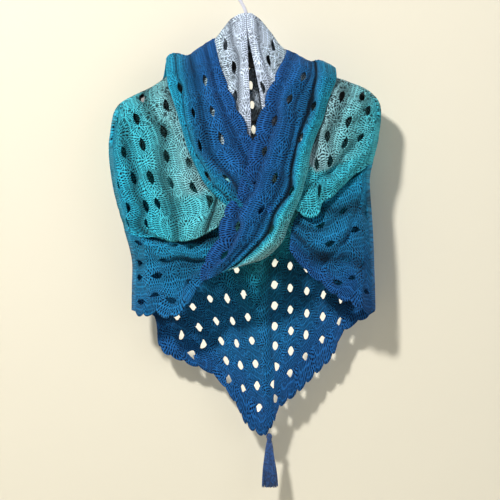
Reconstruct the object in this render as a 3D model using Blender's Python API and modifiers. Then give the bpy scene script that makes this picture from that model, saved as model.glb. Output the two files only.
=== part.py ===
# A triangular crochet shawl on a clothes hanger, worn as a wrap: metres, +Z up, front towards -Y.
# The origin is the seat at the top of the hook's inside. Layout tables are in units of 1.75 mm,
# x to the right from the hook's line at 246 and y downwards from the cloth's peak at 10.
import math

import bmesh
import bpy
from mathutils import Vector

UNIT = 0.00175
CENTRE_X = 246.0
PEAK_Y = 10.0
PEAK_Z = -0.062
WALL = 0.002
SEAM = 0.0007
UNDER_LIFT = 0.0065
OVER_CHEST_LIFT = 0.0132
OVER_RIDGE_LIFT = 0.005
EDGE_ZONE = 0.93
SCALLOP_DIP = 0.35
FRONT_ROLL = {"front_left": 0.007, "front_right": 0.006}
ROLL_BACK = 0.006
ROLL_UP = 0.001
HEM_DROP = 1.2
HOOK_WIRE = 0.003
HOOK_RADIUS = 0.020
HOOK_START = 200
HOOK_END = -28
STEM_FOOT_Y = 55
SOCKET_Y = 46
SOCKET_PLAY = 0.0003
TASSEL_DEPTH = 0.016
STRAND_RINGS = (1, 6, 12, 18)
STRAND_ROOT_HALF = 0.00045
STRAND_HALF = 0.0008
# An eyelet's outline in shares of its half size: across and along the row.
LENS = [(-0.75, -0.5), (-1, 0.1), (-0.3, 1), (0.75, 0.5), (1, -0.1), (0.3, -1)]

# Rings of the draped cape: height, left and right outline, depth before and behind the hanger in mm.
RINGS = [
    (4, 241, 251, 8, 8),
    (11, 240, 252, 10, 9),
    (20, 226, 264, 16, 14),
    (32, 219, 272, 23, 20),
    (46, 205, 283, 30, 26),
    (60, 184, 303, 37, 30),
    (75, 166, 335, 43, 36),
    (86, 150, 364, 47, 39),
    (95, 131, 376, 50, 41),
    (103, 118, 381, 53, 43),
    (117, 111, 382, 58, 48),
    (146, 107.5, 378, 64, 52),
    (175, 110, 371, 68, 54),
    (203, 115.5, 372, 70, 55),
    (232, 124, 374, 71, 54),
    (260, 131, 375, 70, 52),
    (289, 131, 376, 68, 49),
    (316, 131, 376, 64, 45),
    (350, 136, 370, 56, 38),
    (400, 146, 366, 40, 24),
    (450, 156, 360, 30, 14),
]

# Rows of the front panels from the slit to the arm; each runs from the ridge down to the rolled edge.
FRONT_LEFT = [
    [(244, 11), (246, 32), (248.5, 60), (249.5, 92), (251, 128),
     (247, 158), (240, 186), (231, 208), (224, 222)],
    [(232, 17), (234, 36), (237, 62), (240, 92), (241, 128),
     (239, 158), (235, 186), (228, 208), (219, 226)],
    [(212, 42), (214, 58), (217, 80), (221, 106), (225, 132),
     (227, 160), (226, 186), (220, 208), (211, 231)],
    [(176, 67), (180, 84), (186, 104), (194, 126), (202, 150),
     (210, 172), (213, 194), (210, 214), (202, 236)],
    [(152, 85), (157, 100), (163, 118), (171, 138), (180, 158),
     (189, 180), (195, 202), (196, 222), (191, 240)],
    [(131, 95), (136, 108), (142, 124), (149, 143), (156, 162),
     (164, 184), (173, 206), (178, 225), (179, 241)],
    [(117, 104), (120, 117), (125, 132), (131, 149), (138, 167),
     (145, 187), (154, 208), (162, 226), (166, 240)],
    [(112.5, 115), (113.5, 130), (114, 147), (118, 162),
     (123, 178), (130, 195), (138, 213), (146, 227), (152, 237)],
    [(107.5, 143), (108, 152), (109, 163), (110, 174),
     (112, 185), (114.5, 196), (118, 207), (121, 217), (125, 228)],
]
FRONT_RIGHT = [
    [(248, 11), (249.5, 32), (252, 60), (257, 84), (262, 108),
     (264, 134), (270, 162), (282, 190), (295, 208)],
    [(258, 17), (262, 36), (267, 60), (272, 86), (276, 112),
     (279, 138), (284, 164), (292, 190), (300, 213)],
    [(287, 50), (288, 66), (290, 84), (292, 104), (294, 126),
     (296, 148), (299, 170), (302, 192), (306, 217)],
    [(314, 64), (314, 80), (313, 96), (312, 114), (311, 132),
     (311, 152), (311, 172), (312, 192), (314, 217)],
    [(338, 77), (335, 91), (331, 107), (326, 124), (322, 140),
     (320, 156), (319, 173), (320, 191), (322, 210)],
    [(357, 83), (353, 97), (348, 112), (342, 127), (336, 142),
     (332, 156), (330, 170), (330, 185), (330, 200)],
    [(372, 91), (369, 103), (364, 116), (359, 128), (353, 140),
     (347, 152), (342, 164), (339, 176), (339, 188)],
    [(379, 99), (377, 111), (375, 121), (372, 131), (368, 140),
     (364.5, 149), (361, 157), (358, 165), (355, 171)],
    [(382, 117), (382, 122), (381.5, 127), (381, 132),
     (380, 137), (379, 142), (377, 148), (375, 154), (373.5, 160)],
]
# Rows of the arm panels, tucked top to scalloped hem, from the outer edge inwards: x, y, lift in mm.
ARM_LEFT = [
    [(125, 231.5, 0), (139, 237, 0), (152, 241, -6),
     (165, 238, -12), (180, 233, -14), (198, 229, -15), (218, 226, -15)],
    [(129.5, 247, 0), (143, 249, 0), (158, 251, 0),
     (174, 252, -1), (190, 256, 0), (206, 253, -1), (222, 246, -6)],
    [(131, 266, 0), (145, 265, 0), (160, 262, -5),
     (176, 260, -12), (192, 261, -14), (208, 262, -8), (220, 258, -7)],
    [(131, 289, 0), (146, 289, 2), (160, 288, 0),
     (176, 285, -8), (192, 280, -9), (206, 272, -5), (217, 267, -7)],
    [(131, 312, 0), (143, 315, 3), (156, 312, -2),
     (171, 316, 4), (186, 305, 3), (197, 289, 0), (210, 275, -5)],
]
ARM_RIGHT = [
    [(373, 166, 0), (363, 173, 0), (353, 180, -6), (341, 186, -12),
     (328, 197, -15), (315, 206, -18), (301, 208, -18)],
    [(371.5, 188, 0), (361, 192, 0), (350, 195, -2), (338, 200, -6),
     (325, 211, -10), (312, 220, -14), (298, 214, -15)],
    [(373, 216, 0), (362, 219, 2), (349, 222, 2), (337, 227, 2),
     (324, 232, 0), (310, 231, -2), (294, 221, -8)],
    [(375, 248, 0), (363, 249, 0), (350, 251, 1), (337, 254, 3),
     (323, 253, 3), (308, 246, -2), (291, 230, -6)],
    [(375.5, 280, 0), (364, 280, 0), (351, 278, -2), (337, 274, -8),
     (323, 267, -12), (309, 258, -8), (290, 240, -4)],
    [(376, 312, 0), (363, 309, 2), (350, 301, 3), (336, 295, 1),
     (321, 282, -2), (306, 270, 1), (289, 250, -2)],
]
# Stations of the crossed bands, from the chest to the ridge: navy edge, middle, pleat, strip, outer edge.
BAND_OVER = [
    [(201, 281, -6), (211, 278, -1), (221, 273, -2), (231, 269, 0), (241, 265, -2)],
    [(205, 262, -1), (219, 263, 2), (234, 262, 0), (248, 261, 3), (263, 259, 0)],
    [(219, 238, 0), (234, 242, 4), (254, 241, -2), (267, 244, 5), (281, 243, 0)],
    [(224, 216, 0), (242, 221, 4), (264, 222, -2), (278, 221, 5), (291, 218, 0)],
    [(237, 195, 0), (254, 199, 3), (274, 202, -2), (288, 201, 5), (300, 198, 0)],
    [(248, 165, 0), (263, 172, 3), (283, 178, -2), (296, 178, 5), (307, 173, 0)],
    [(255, 137, 0), (271, 145, 3), (293, 148, -2), (303, 149, 5), (312, 147, 0)],
    [(264, 107, 0), (282, 114, 3), (301, 119, -2), (312, 122, 5), (322, 122, 0)],
    [(274, 81, 0), (290, 89, 3), (308, 93, -2), (319, 97, 5), (329, 98, 0)],
    [(284, 58, 0), (297, 66, 2), (313, 74, -2), (324, 78, 4), (336, 80, 0)],
]
BAND_UNDER = [
    [(284, 203, -3), (274, 211, -2), (264, 217, -2), (254, 221, -2), (246, 222, -2)],
    [(268, 178, 0), (256, 187, 1), (243, 195, -1), (233, 200, 2), (224, 204, 0)],
    [(257, 157, 0), (244, 166, 2), (228, 176, -2), (215, 182, 4), (205, 184, 0)],
    [(248, 134, 0), (232, 142, 2), (210, 149, -3), (199, 153, 4), (190, 154, 0)],
    [(237, 110, 0), (221, 116, 2), (203, 121, -3), (191, 124, 4), (181, 126, 0)],
    [(228, 89, 0), (213, 94, 2), (199, 99, -3), (186, 102, 4), (174, 103, 0)],
    [(220, 65, 0), (208, 70, 2), (194, 75, -3), (181, 80, 3), (168, 84, 0)],
]
# The bands' ends hang behind the shoulders: across the ridge, then down to a point.
TIP_RIGHT = [
    [(289, 48, 0), (301, 53, 2), (314, 60, -2), (323, 61, 4), (337, 72, 0)],
    [(292, 66, 0), (305, 70, 2), (318, 78, -1), (330, 84, 3), (344, 92, 0)],
    [(300, 96, 0), (313, 102, 2), (326, 108, 0), (339, 114, 2), (352, 120, 0)],
    [(316, 132, 0), (326, 137, 1), (336, 142, 0), (346, 147, 1), (356, 152, 0)],
    [(336, 172, 0), (341, 174, 1), (346, 176, 0), (351, 178, 1), (357, 181, 0)],
]
TIP_LEFT = [
    [(211, 42, 0), (201, 45, 2), (189, 52, -3), (178, 57, 2), (164, 63, 0)],
    [(206, 62, 0), (194, 66, 2), (182, 72, -2), (170, 79, 2), (157, 87, 0)],
    [(198, 92, 0), (186, 98, 2), (173, 104, 0), (160, 110, 2), (147, 116, 0)],
    [(183, 128, 0), (173, 133, 1), (163, 138, 0), (153, 143, 1), (143, 148, 0)],
    [(163, 168, 0), (158, 170, 1), (153, 172, 0), (148, 174, 1), (142, 177, 0)],
]
# Rows of the back, peak to hem: the spine's point and the two ends at the sides.
BACK_ROWS = [
    ((246, 12), (241, 12), (251, 12)),
    ((246, 51), (222, 28), (269, 29)),
    ((247, 93), (203, 49), (288, 51)),
    ((249, 134), (179, 65), (316, 67)),
    ((251, 175), (154, 85), (352, 82)),
    ((254, 217), (123, 100), (379, 100)),
    ((256, 258), (107.5, 142), (380.5, 133)),
    ((258, 299), (112, 189), (371, 180)),
    ((260, 341), (126, 238), (373.5, 226)),
    ((262, 382), (131, 281), (375.5, 268)),
]
HEM_LEFT = [(264, 438), (248, 425), (234, 406), (218, 385), (196, 369), (171, 358), (157, 339), (131, 314)]
HEM_RIGHT = [(264, 438), (274, 424), (280, 409), (298, 394), (316, 376), (334, 357), (346, 332), (376, 313)]
# The tassel's head: radius and height below its top, in metres.
TASSEL_HEAD = [
    (0.0022, 0.0), (0.0042, -0.003), (0.0047, -0.008), (0.0036, -0.012), (0.0044, -0.015), (0.0052, -0.019)
]
TASSEL_TOP = (265.5, 439.95)
TASSEL_END_Y = 489

# Soft folds pressed into the panels: start, end, half width in units, height in mm.
FOLDS = {
    "front_left": [
        ((140, 100), (172, 225), 6, -4),
        ((158, 120), (190, 232), 5, 3),
        ((120, 130), (150, 232), 5, 3),
        ((228, 40), (236, 140), 4, 2),
    ],
    "front_right": [
        ((366, 110), (330, 188), 6, -4),
        ((352, 100), (322, 185), 5, 3),
        ((278, 40), (270, 120), 4, 2),
    ],
    "arm_left": [((140, 272), (150, 314), 4, -4), ((168, 292), (190, 300), 5, 3)],
    "arm_right": [((345, 225), (362, 300), 5, 3), ((318, 240), (340, 290), 5, -3)],
    "band_over": [((286, 80), (232, 232), 4, -2)],
    "band_under": [((212, 66), (240, 160), 4, -2)],
    "back": [
        ((264, 120), (266, 436), 4, -5),
        ((200, 120), (215, 380), 12, 5),
        ((330, 120), (318, 370), 12, 5),
        ((160, 120), (170, 340), 10, -5),
        ((290, 150), (290, 400), 8, -3),
    ],
}

# Cells of each panel that have an eyelet: row and station.
HOLED = {
    "front_left": [(3, 1), (4, 3), (3, 4), (5, 1), (5, 2), (5, 4), (6, 2), (6, 3), (6, 4), (6, 5),
                   (7, 1), (7, 3), (7, 5), (4, 5), (0, 2), (1, 1), (1, 3)],
    "front_right": [(3, 1), (4, 2), (4, 4), (5, 1), (5, 3), (6, 1), (6, 3), (7, 1), (1, 1), (1, 3), (0, 2)],
    "arm_left": [(0, 1), (1, 0), (1, 1), (1, 3), (2, 0), (2, 1), (2, 3), (2, 4), (3, 0), (3, 1),
                 (3, 2), (3, 4)],
    "arm_right": [(0, 0), (1, 1), (1, 2), (1, 3), (2, 0), (2, 2), (2, 3), (3, 0), (3, 1), (3, 2),
                  (3, 3), (4, 0), (4, 1), (4, 2), (4, 4)],
    "band_over": [(0, 1), (1, 1), (0, 3), (1, 3), (3, 3), (1, 4), (1, 5), (3, 6), (0, 6), (2, 7),
                  (1, 8), (1, 11), (2, 12)],
    "band_under": [(0, 2), (1, 3), (0, 4), (1, 5), (3, 4), (0, 6), (3, 6), (1, 9), (2, 10)],
}

COLOURS = {
    "back": (0.02, 0.16, 0.27),
    "front_left": (0.12, 0.47, 0.53),
    "front_right": (0.14, 0.44, 0.50),
    "arm_left": (0.03, 0.27, 0.44),
    "arm_right": (0.03, 0.23, 0.42),
    "band_over": (0.02, 0.15, 0.38),
    "band_under": (0.02, 0.17, 0.36),
    "tassel": (0.01, 0.07, 0.22),
    "hanger": (0.02, 0.02, 0.025),
    "hook": (0.62, 0.62, 0.68),
}


def smooth(table, at, column):
    """Reads one column of a table at a height, along a smooth curve through its rows."""
    rows = table
    if at <= rows[0][0]:
        return rows[0][column]
    if at >= rows[-1][0]:
        return rows[-1][column]
    i = next(k for k in range(len(rows) - 1) if rows[k + 1][0] >= at)

    def slope(k):
        low, high = max(k - 1, 0), min(k + 1, len(rows) - 1)
        return (rows[high][column] - rows[low][column]) / (rows[high][0] - rows[low][0])

    step = rows[i + 1][0] - rows[i][0]
    t = (at - rows[i][0]) / step
    a, b = rows[i][column], rows[i + 1][column]
    rise = t * t * (3 - 2 * t)
    bend = slope(i) * step * t * (1 - t) ** 2 - slope(i + 1) * step * t * t * (1 - t)
    return a + (b - a) * rise + bend


def ring(y, lift):
    """The cape's ring at height y, grown outwards and upwards by a lift in metres."""
    y = y + lift / UNIT
    left = smooth(RINGS, y, 1) - lift / UNIT
    right = smooth(RINGS, y, 2) + lift / UNIT
    return (left + right) / 2, (right - left) / 2, y


def ridge(x, lift):
    """The height at which a column of the grown cape meets its top outline."""
    low, high = PEAK_Y + 1, 120.0
    for _ in range(26):
        mid = (low + high) / 2
        centre, half, _ = ring(mid, lift)
        if abs(x - centre) < half:
            high = mid
        else:
            low = mid
    return high


def side_x(x, y):
    """The cape's own outline at height y, on the side nearer to x."""
    centre, half, _ = ring(y, 0)
    return centre - half if x < centre else centre + half


def place(x, y, lift, behind=False, seam=0.0, base=0.0, inner=False):
    """A layout point on the cape, pushed out by lift; base is the layer's own height over the cape.
    An inner point that would pass the outline is drawn in beside it."""
    centre, half, level = ring(y, base)
    across = max(-1.0, min(1.0, (x - centre) / half))
    past = abs((x - centre) / half) - EDGE_ZONE
    if inner and past > 0:
        squeezed = EDGE_ZONE + (1 - EDGE_ZONE) * 0.8 * (1 - math.exp(-past / (1 - EDGE_ZONE)))
        across = math.copysign(squeezed, x - centre)
    rise = math.sqrt(max(0.0, 1 - across * across))
    depth = smooth(RINGS, level, 4 if behind else 3) / 1000 + base
    reach = rise * depth + lift * min(1.0, rise * 2.2) + seam
    side = 1 if behind else -1
    return Vector(((centre + half * across - CENTRE_X) * UNIT, side * reach, PEAK_Z - (y - PEAK_Y) * UNIT))


def fold_height(folds, x, y):
    """The sum of the folds at a layout point, in metres."""
    total = 0.0
    for (x0, y0), (x1, y1), width, height in folds:
        dx, dy = x1 - x0, y1 - y0
        length = math.hypot(dx, dy)
        along = ((x - x0) * dx + (y - y0) * dy) / length
        across = ((x - x0) * dy - (y - y0) * dx) / length
        past = max(0.0, -along, along - length)
        total += height / 1000 * math.exp(-((across / width) ** 2) - (past / (2.5 * width)) ** 2)
    return total


def blend(points, t):
    """A smooth curve through evenly numbered points."""
    last = len(points) - 1
    i = min(int(t), last - 1)
    u = t - i
    a = points[i - 1] if i else points[0] * 2 - points[1]
    d = points[i + 2] if i + 2 <= last else points[last] * 2 - points[last - 1]
    b, c = points[i], points[i + 1]
    square = a * 2 - b * 5 + c * 4 - d
    cube = b * 3 - a - c * 3 + d
    return b + (c - a) * (u / 2) + square * (u * u / 2) + cube * (u ** 3 / 2)


def sheet(rows):
    """Turns rows of guide points into a function of the row number and the station number."""
    guides = [[Vector((p[0], p[1], p[2] if len(p) > 2 else 0)) for p in row] for row in rows]
    return lambda a, b: blend([blend(row, b) for row in guides], a)


def new_object(name, mesh, colour, rough=0.85, metal=0.0):
    material = bpy.data.materials.new(name)
    material.use_nodes = True
    shader = material.node_tree.nodes["Principled BSDF"]
    shader.inputs["Base Color"].default_value = (*colour, 1)
    shader.inputs["Roughness"].default_value = rough
    shader.inputs["Metallic"].default_value = metal
    mesh.materials.append(material)
    thing = bpy.data.objects.new(name, mesh)
    shawl.objects.link(thing)
    return thing


def lace(name, surface, a_lines, b_lines, holed, outward, scallop=None):
    """A cloth wall over a grid of crochet cells, with a lens cut through each holed cell."""
    bm = bmesh.new()
    b_fine = []
    for low, high in zip(b_lines, b_lines[1:]):
        b_fine += [low, (low + high) / 2]
    b_fine.append(b_lines[-1])
    cache = {}

    def vertex(a, b):
        key = (round(a, 5), round(b, 5))
        if key not in cache:
            cache[key] = bm.verts.new(surface(a, b))
        return cache[key]

    def hem(i, b, t):
        """A point of a grid line; on a scalloped edge it bulges between the cell's corners."""
        if scallop and i in scallop[1]:
            bulge = scallop[0] * (math.sin(math.pi * t) ** 0.6 - SCALLOP_DIP)
            return vertex(a_lines[i] + (bulge if i else -bulge), b)
        return vertex(a_lines[i], b)

    corners = []
    for i in range(len(a_lines)):
        corners.append([hem(i, b, 0.5 * (j % 2)) for j, b in enumerate(b_fine)])

    def edge(i, j, start):
        """The corners along half a cell's edge, with two more where it is scalloped."""
        if not scallop or i not in scallop[1]:
            return []
        low, high = b_lines[j], b_lines[j + 1]
        steps = (0.1, 0.28) if start == 0 else (0.72, 0.9)
        return [hem(i, low + (high - low) * t, t) for t in steps]

    for i in range(len(a_lines) - 1):
        for j in range(len(b_lines) - 1):
            rim = [corners[i][2 * j], corners[i][2 * j + 1], corners[i][2 * j + 2],
                   corners[i + 1][2 * j + 2], corners[i + 1][2 * j + 1], corners[i + 1][2 * j]]
            size = holed(i, j)
            near = [edge(i, j, 0), edge(i, j, 0.5)] if i == 0 else [[], []]
            far = [edge(i + 1, j, 0), edge(i + 1, j, 0.5)] if i + 2 == len(a_lines) else [[], []]
            if not size:
                bm.faces.new([rim[0], *near[0], rim[1], rim[4], *reversed(far[0]), rim[5]])
                bm.faces.new([rim[1], *near[1], rim[2], rim[3], *reversed(far[1]), rim[4]])
                continue
            between = [near[0], near[1], [], list(reversed(far[1])), list(reversed(far[0])), []]
            along, wide = size
            a0, a1, b0, b1 = a_lines[i], a_lines[i + 1], b_lines[j], b_lines[j + 1]
            a_mid, b_mid = (a0 + a1) / 2, (b0 + b1) / 2
            da, db = (a1 - a0) * wide / 2, (b1 - b0) * along / 2
            inner = [vertex(a_mid + da * p, b_mid + db * q) for p, q in LENS]
            for k in range(6):
                bm.faces.new([rim[k], *between[k], rim[(k + 1) % 6], inner[(k + 1) % 6], inner[k]])
    bmesh.ops.recalc_face_normals(bm, faces=bm.faces)
    bm.normal_update()
    facing = sum((f.normal.dot(outward(f.calc_center_median())) * f.calc_area() for f in bm.faces), 0.0)
    if facing < 0:
        bmesh.ops.reverse_faces(bm, faces=bm.faces)
    bmesh.ops.triangulate(bm, faces=bm.faces)
    mesh = bpy.data.meshes.new(name)
    bm.to_mesh(mesh)
    bm.free()
    thing = new_object(name, mesh, COLOURS[name])
    wall = thing.modifiers.new("wall", "SOLIDIFY")
    wall.thickness = WALL
    wall.offset = 0
    wall.use_even_offset = False
    thing.data.shade_smooth()
    return thing


def front_surface(name, rows, roll):
    """A front panel whose rows start on the ridge; its inner part is rolled under at the bottom."""
    rows = [[(row[0][0], ridge(row[0][0], 0))] + row[1:] for row in rows[:-1]] + [rows[-1]]
    rows[-1] = [(side_x(x, y), y) for x, y in rows[-1]]
    guide = sheet(rows)
    last = len(rows[0]) - 1

    def surface(a, b):
        p = guide(a, min(b, last))
        inner = min(1.0, max(0.0, (len(rows) - 2 - a) / 2.5))
        p.y += max(0.0, b - last) * (1 - inner) * HEM_DROP
        bulge = roll * inner * min(1.0, a / 3.5) * math.exp(-((b - last + 0.6) / 0.9) ** 2)
        lift = fold_height(FOLDS[name], p.x, p.y) + bulge
        at_edge = b == 0 or a == len(rows) - 1
        point = place(p.x, p.y, lift, seam=SEAM, inner=not at_edge)
        if b > last:
            turn = (b - last) * inner
            point += Vector((0, ROLL_BACK * turn, ROLL_UP * turn))
        return point
    return surface


def arm_surface(name, rows):
    guide = sheet([[(side_x(row[0][0], row[0][1]), row[0][1], 0)] + row[1:] for row in rows])

    def surface(a, b):
        p = guide(a, b)
        lift = p.z / 1000 + fold_height(FOLDS[name], p.x, p.y) * min(1, b)
        return place(p.x, p.y, lift, seam=SEAM, inner=b > 0)
    return surface


def band_surface(name, chest, tip, low_base, high_base):
    """A band from the chest up over the ridge; points behind the ridge are held mirrored above it.
    It stands off the cape by low_base on the chest and by high_base at the shoulder."""
    stations = [[Vector(p) for p in row] for row in chest]
    for row in tip:
        stations.append([Vector((x, 2 * ridge(x, high_base) - y, lift)) for x, y, lift in row])
    columns = [[row[k] for row in stations] for k in range(5)]
    settle = len(chest) - 1

    def surface(a, b):
        p = blend([blend(column, b) for column in columns], a)
        share = max(0.0, min(1.0, (settle - b) / 3.5))
        base = high_base + (low_base - high_base) * share * share * (3 - 2 * share)
        top = ridge(p.x, base)
        behind = p.y < top
        y = 2 * top - p.y if behind else p.y
        lift = p.z / 1000 + fold_height(FOLDS["back" if behind else name], p.x, y)
        return place(p.x, y, lift, behind=behind, base=base)
    return surface


def back_surface():
    left_hem = [Vector((x, y, 0)) for x, y in HEM_LEFT]
    right_hem = [Vector((x, y, 0)) for x, y in HEM_RIGHT]
    for hem in (left_hem, right_hem):
        hem[-1].x = side_x(hem[-1].x, hem[-1].y)
    halves = []
    for ends, hem in ((1, left_hem), (2, right_hem)):
        rows = []
        for r, row in enumerate(BACK_ROWS):
            start = Vector((*row[0], 0))
            stop = Vector((side_x(*row[ends]), row[ends][1], 0))
            share = max(0.0, (r - 7) / 3) ** 2
            line = [start.lerp(stop, k / 7) for k in range(8)]
            straight = [hem[0].lerp(hem[7], k / 7) for k in range(8)]
            rows.append([p + (h - s) * share for p, h, s in zip(line, hem, straight)])
        rows.append(hem)
        halves.append(rows)

    def surface(a, b):
        half = halves[0] if b < 0 else halves[1]
        p = blend([blend(row, abs(b)) for row in half], a)
        lift = fold_height(FOLDS["back"], p.x, p.y)
        return place(p.x, p.y, lift, behind=True, seam=SEAM, inner=abs(b) < 7)
    return surface


def chosen(name, along, wide, shift=0):
    """Tells the size of a cell's eyelet; shift is the number of narrow stations before the first."""
    cells = {(i, j + shift) for i, j in HOLED[name]}
    return lambda i, j: (along, wide) if (i, j) in cells else None


def lines(*stops):
    """Grid lines from (start, end, count) runs."""
    values = [stops[0][0]]
    for start, end, count in stops:
        values += [start + (end - start) * (k + 1) / count for k in range(count)]
    return values


def away(point):
    return Vector((point.x * 0.3, -1 if point.y < 0 else 1, 0))


def before(point):
    return Vector((0, -1, 0))


def cloth():
    side_rows = lines((0, 7, 7), (7, 8, 2))
    front_cells = lines((0, 0.25, 2), (0.25, 1, 1), (1, 8, 6), (8, 9.4, 2))
    for name, rows in (("front_left", FRONT_LEFT), ("front_right", FRONT_RIGHT)):
        lace(name, front_surface(name, rows, FRONT_ROLL[name]), side_rows, front_cells,
             chosen(name, 0.6, 0.62, 2), before)
    for name, rows in (("arm_left", ARM_LEFT), ("arm_right", ARM_RIGHT)):
        lace(name, arm_surface(name, rows), lines((0, len(rows) - 1, len(rows) - 1)),
             lines((0, 6, 6)), chosen(name, 0.62, 0.5), before, (0.16, (len(rows) - 1,)))
    over = band_surface("band_over", BAND_OVER, TIP_RIGHT, OVER_CHEST_LIFT, OVER_RIDGE_LIFT)
    under = band_surface("band_under", BAND_UNDER, TIP_LEFT, UNDER_LIFT, UNDER_LIFT)
    lace("band_over", over, lines((0, 4, 4)),
         lines((0, 9, 9), (9, 11, 4), (11, 14, 3)), chosen("band_over", 0.5, 0.55), away,
         (0.2, (0,)))
    lace("band_under", under, lines((0, 4, 4)),
         lines((0, 6, 6), (6, 8, 4), (8, 11, 3)), chosen("band_under", 0.5, 0.55), away,
         (0.2, (0,)))
    columns = lines((-7, -6.7, 1), (-6.7, 0, 7))
    columns = columns + [-value for value in reversed(columns[:-1])]

    def back_hole(i, j):
        middle = abs(columns[j] + columns[j + 1]) / 2
        return (0.36, 0.48) if i >= 8 and middle < 6.6 else None
    lace("back", back_surface(), lines((0, 10, 20)), columns, back_hole,
         lambda point: Vector((0, 1, 0)), (0.22, (20,)))


def solid_mesh(thing, name):
    """The finished mesh of a curve or a modified object, welded, in world space."""
    graph = bpy.context.evaluated_depsgraph_get()
    mesh = bpy.data.meshes.new_from_object(thing.evaluated_get(graph))
    mesh.transform(thing.matrix_world)
    bm = bmesh.new()
    bm.from_mesh(mesh)
    bmesh.ops.remove_doubles(bm, verts=bm.verts, dist=0.00001)
    bmesh.ops.recalc_face_normals(bm, faces=bm.faces)
    bm.to_mesh(mesh)
    bm.free()
    mesh.name = name
    bpy.data.objects.remove(thing)
    return mesh


def wire(name, points, radius, resolution=2):
    curve = bpy.data.curves.new(name, "CURVE")
    curve.dimensions = "3D"
    curve.bevel_depth = radius
    curve.bevel_resolution = resolution
    curve.use_fill_caps = True
    spline = curve.splines.new("POLY")
    spline.points.add(len(points) - 1)
    for slot, p in zip(spline.points, points):
        slot.co = (*p, 1)
    thing = bpy.data.objects.new(name, curve)
    bpy.context.scene.collection.objects.link(thing)
    return thing


def combine(base, other, operation):
    """Boolean of a second object with the first, whose mesh it replaces; the second is removed."""
    step = base.modifiers.new("combine", "BOOLEAN")
    step.operation = operation
    step.object = other
    graph = bpy.context.evaluated_depsgraph_get()
    graph.update()
    mesh = bpy.data.meshes.new_from_object(base.evaluated_get(graph))
    base.modifiers.clear()
    base.data = mesh
    bpy.data.objects.remove(other)


def tassel():
    """A wound head with strands fused into its underside, flaring to a blunt end."""
    x0, y0 = TASSEL_TOP
    top = Vector(((x0 - CENTRE_X) * UNIT, TASSEL_DEPTH, PEAK_Z - (y0 - PEAK_Y) * UNIT))
    end_z = PEAK_Z - (TASSEL_END_Y - PEAK_Y) * UNIT
    sides = 16
    bm = bmesh.new()
    rings = []
    for radius, dz in TASSEL_HEAD:
        angles = [k * math.tau / sides for k in range(sides)]
        spots = [Vector((radius * math.cos(angle), radius * math.sin(angle), dz)) for angle in angles]
        rings.append([bm.verts.new(top + spot) for spot in spots])
    for low, high in zip(rings, rings[1:]):
        for k in range(sides):
            bm.faces.new((low[k], high[k], high[(k + 1) % sides], low[(k + 1) % sides]))
    bm.faces.new(rings[0])
    bm.faces.new(list(reversed(rings[-1])))
    bmesh.ops.recalc_face_normals(bm, faces=bm.faces)
    mesh = bpy.data.meshes.new("tassel")
    bm.to_mesh(mesh)
    bm.free()
    head = new_object("tassel", mesh, COLOURS["tassel"])
    strands = bmesh.new()
    count = 0
    for ring_number, many in enumerate(STRAND_RINGS):
        for k in range(many):
            angle = k * math.tau / many + ring_number * 0.4
            root = ring_number * 0.00138
            flare = ring_number * 0.0033 + 0.0004 * math.sin(count * 2.4)
            lean = 0.002 * math.sin(count * 1.7)
            drop = end_z + 0.004 * abs(math.sin(count * 1.3))
            direction = Vector((math.cos(angle), math.sin(angle), 0))
            spots = [
                top + direction * root + Vector((0, 0, -0.0165)),
                top + direction * (root * 1.15) + Vector((0, 0, -0.024)),
                top + direction * (root * 1.4 + flare * 0.25) + Vector((0, 0, -0.042)),
                Vector((top.x + lean * 0.3, top.y, drop)) + direction * flare,
            ]
            section = []
            for n, spot in enumerate(spots):
                half = STRAND_ROOT_HALF if n < 2 else STRAND_HALF
                turns = [angle + q * math.tau / 4 for q in range(4)]
                offsets = [Vector((half * math.cos(turn), half * math.sin(turn), 0)) for turn in turns]
                section.append([strands.verts.new(spot + offset) for offset in offsets])
            for low, high in zip(section, section[1:]):
                for q in range(4):
                    strands.faces.new((low[q], low[(q + 1) % 4], high[(q + 1) % 4], high[q]))
            strands.faces.new(list(reversed(section[0])))
            strands.faces.new(section[-1])
            count += 1
    bmesh.ops.recalc_face_normals(strands, faces=strands.faces)
    loose = bpy.data.meshes.new("strands")
    strands.to_mesh(loose)
    strands.free()
    other = bpy.data.objects.new("strands", loose)
    bpy.context.scene.collection.objects.link(other)
    combine(head, other, "UNION")


# Stations of the hanger's arms: x, top and bottom heights in layout units, half thickness in mm.
HANGER = [
    (125, 103.5, 111, 4),
    (134, 96.5, 114, 9),
    (152, 86.1, 107, 12),
    (176, 71, 93, 12),
    (204, 60, 79, 9),
    (228, 53, 69, 7),
    (246, 50, 66, 6.5),
    (264, 52, 67, 7),
    (288, 58, 76, 9),
    (316, 69.5, 88, 12),
    (340, 78.5, 99, 12),
    (358, 86.5, 105, 9),
    (367, 94, 102, 4),
]
BAR = ((132, 126), (360, 116))
BAR_RADIUS = 0.0042


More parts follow.
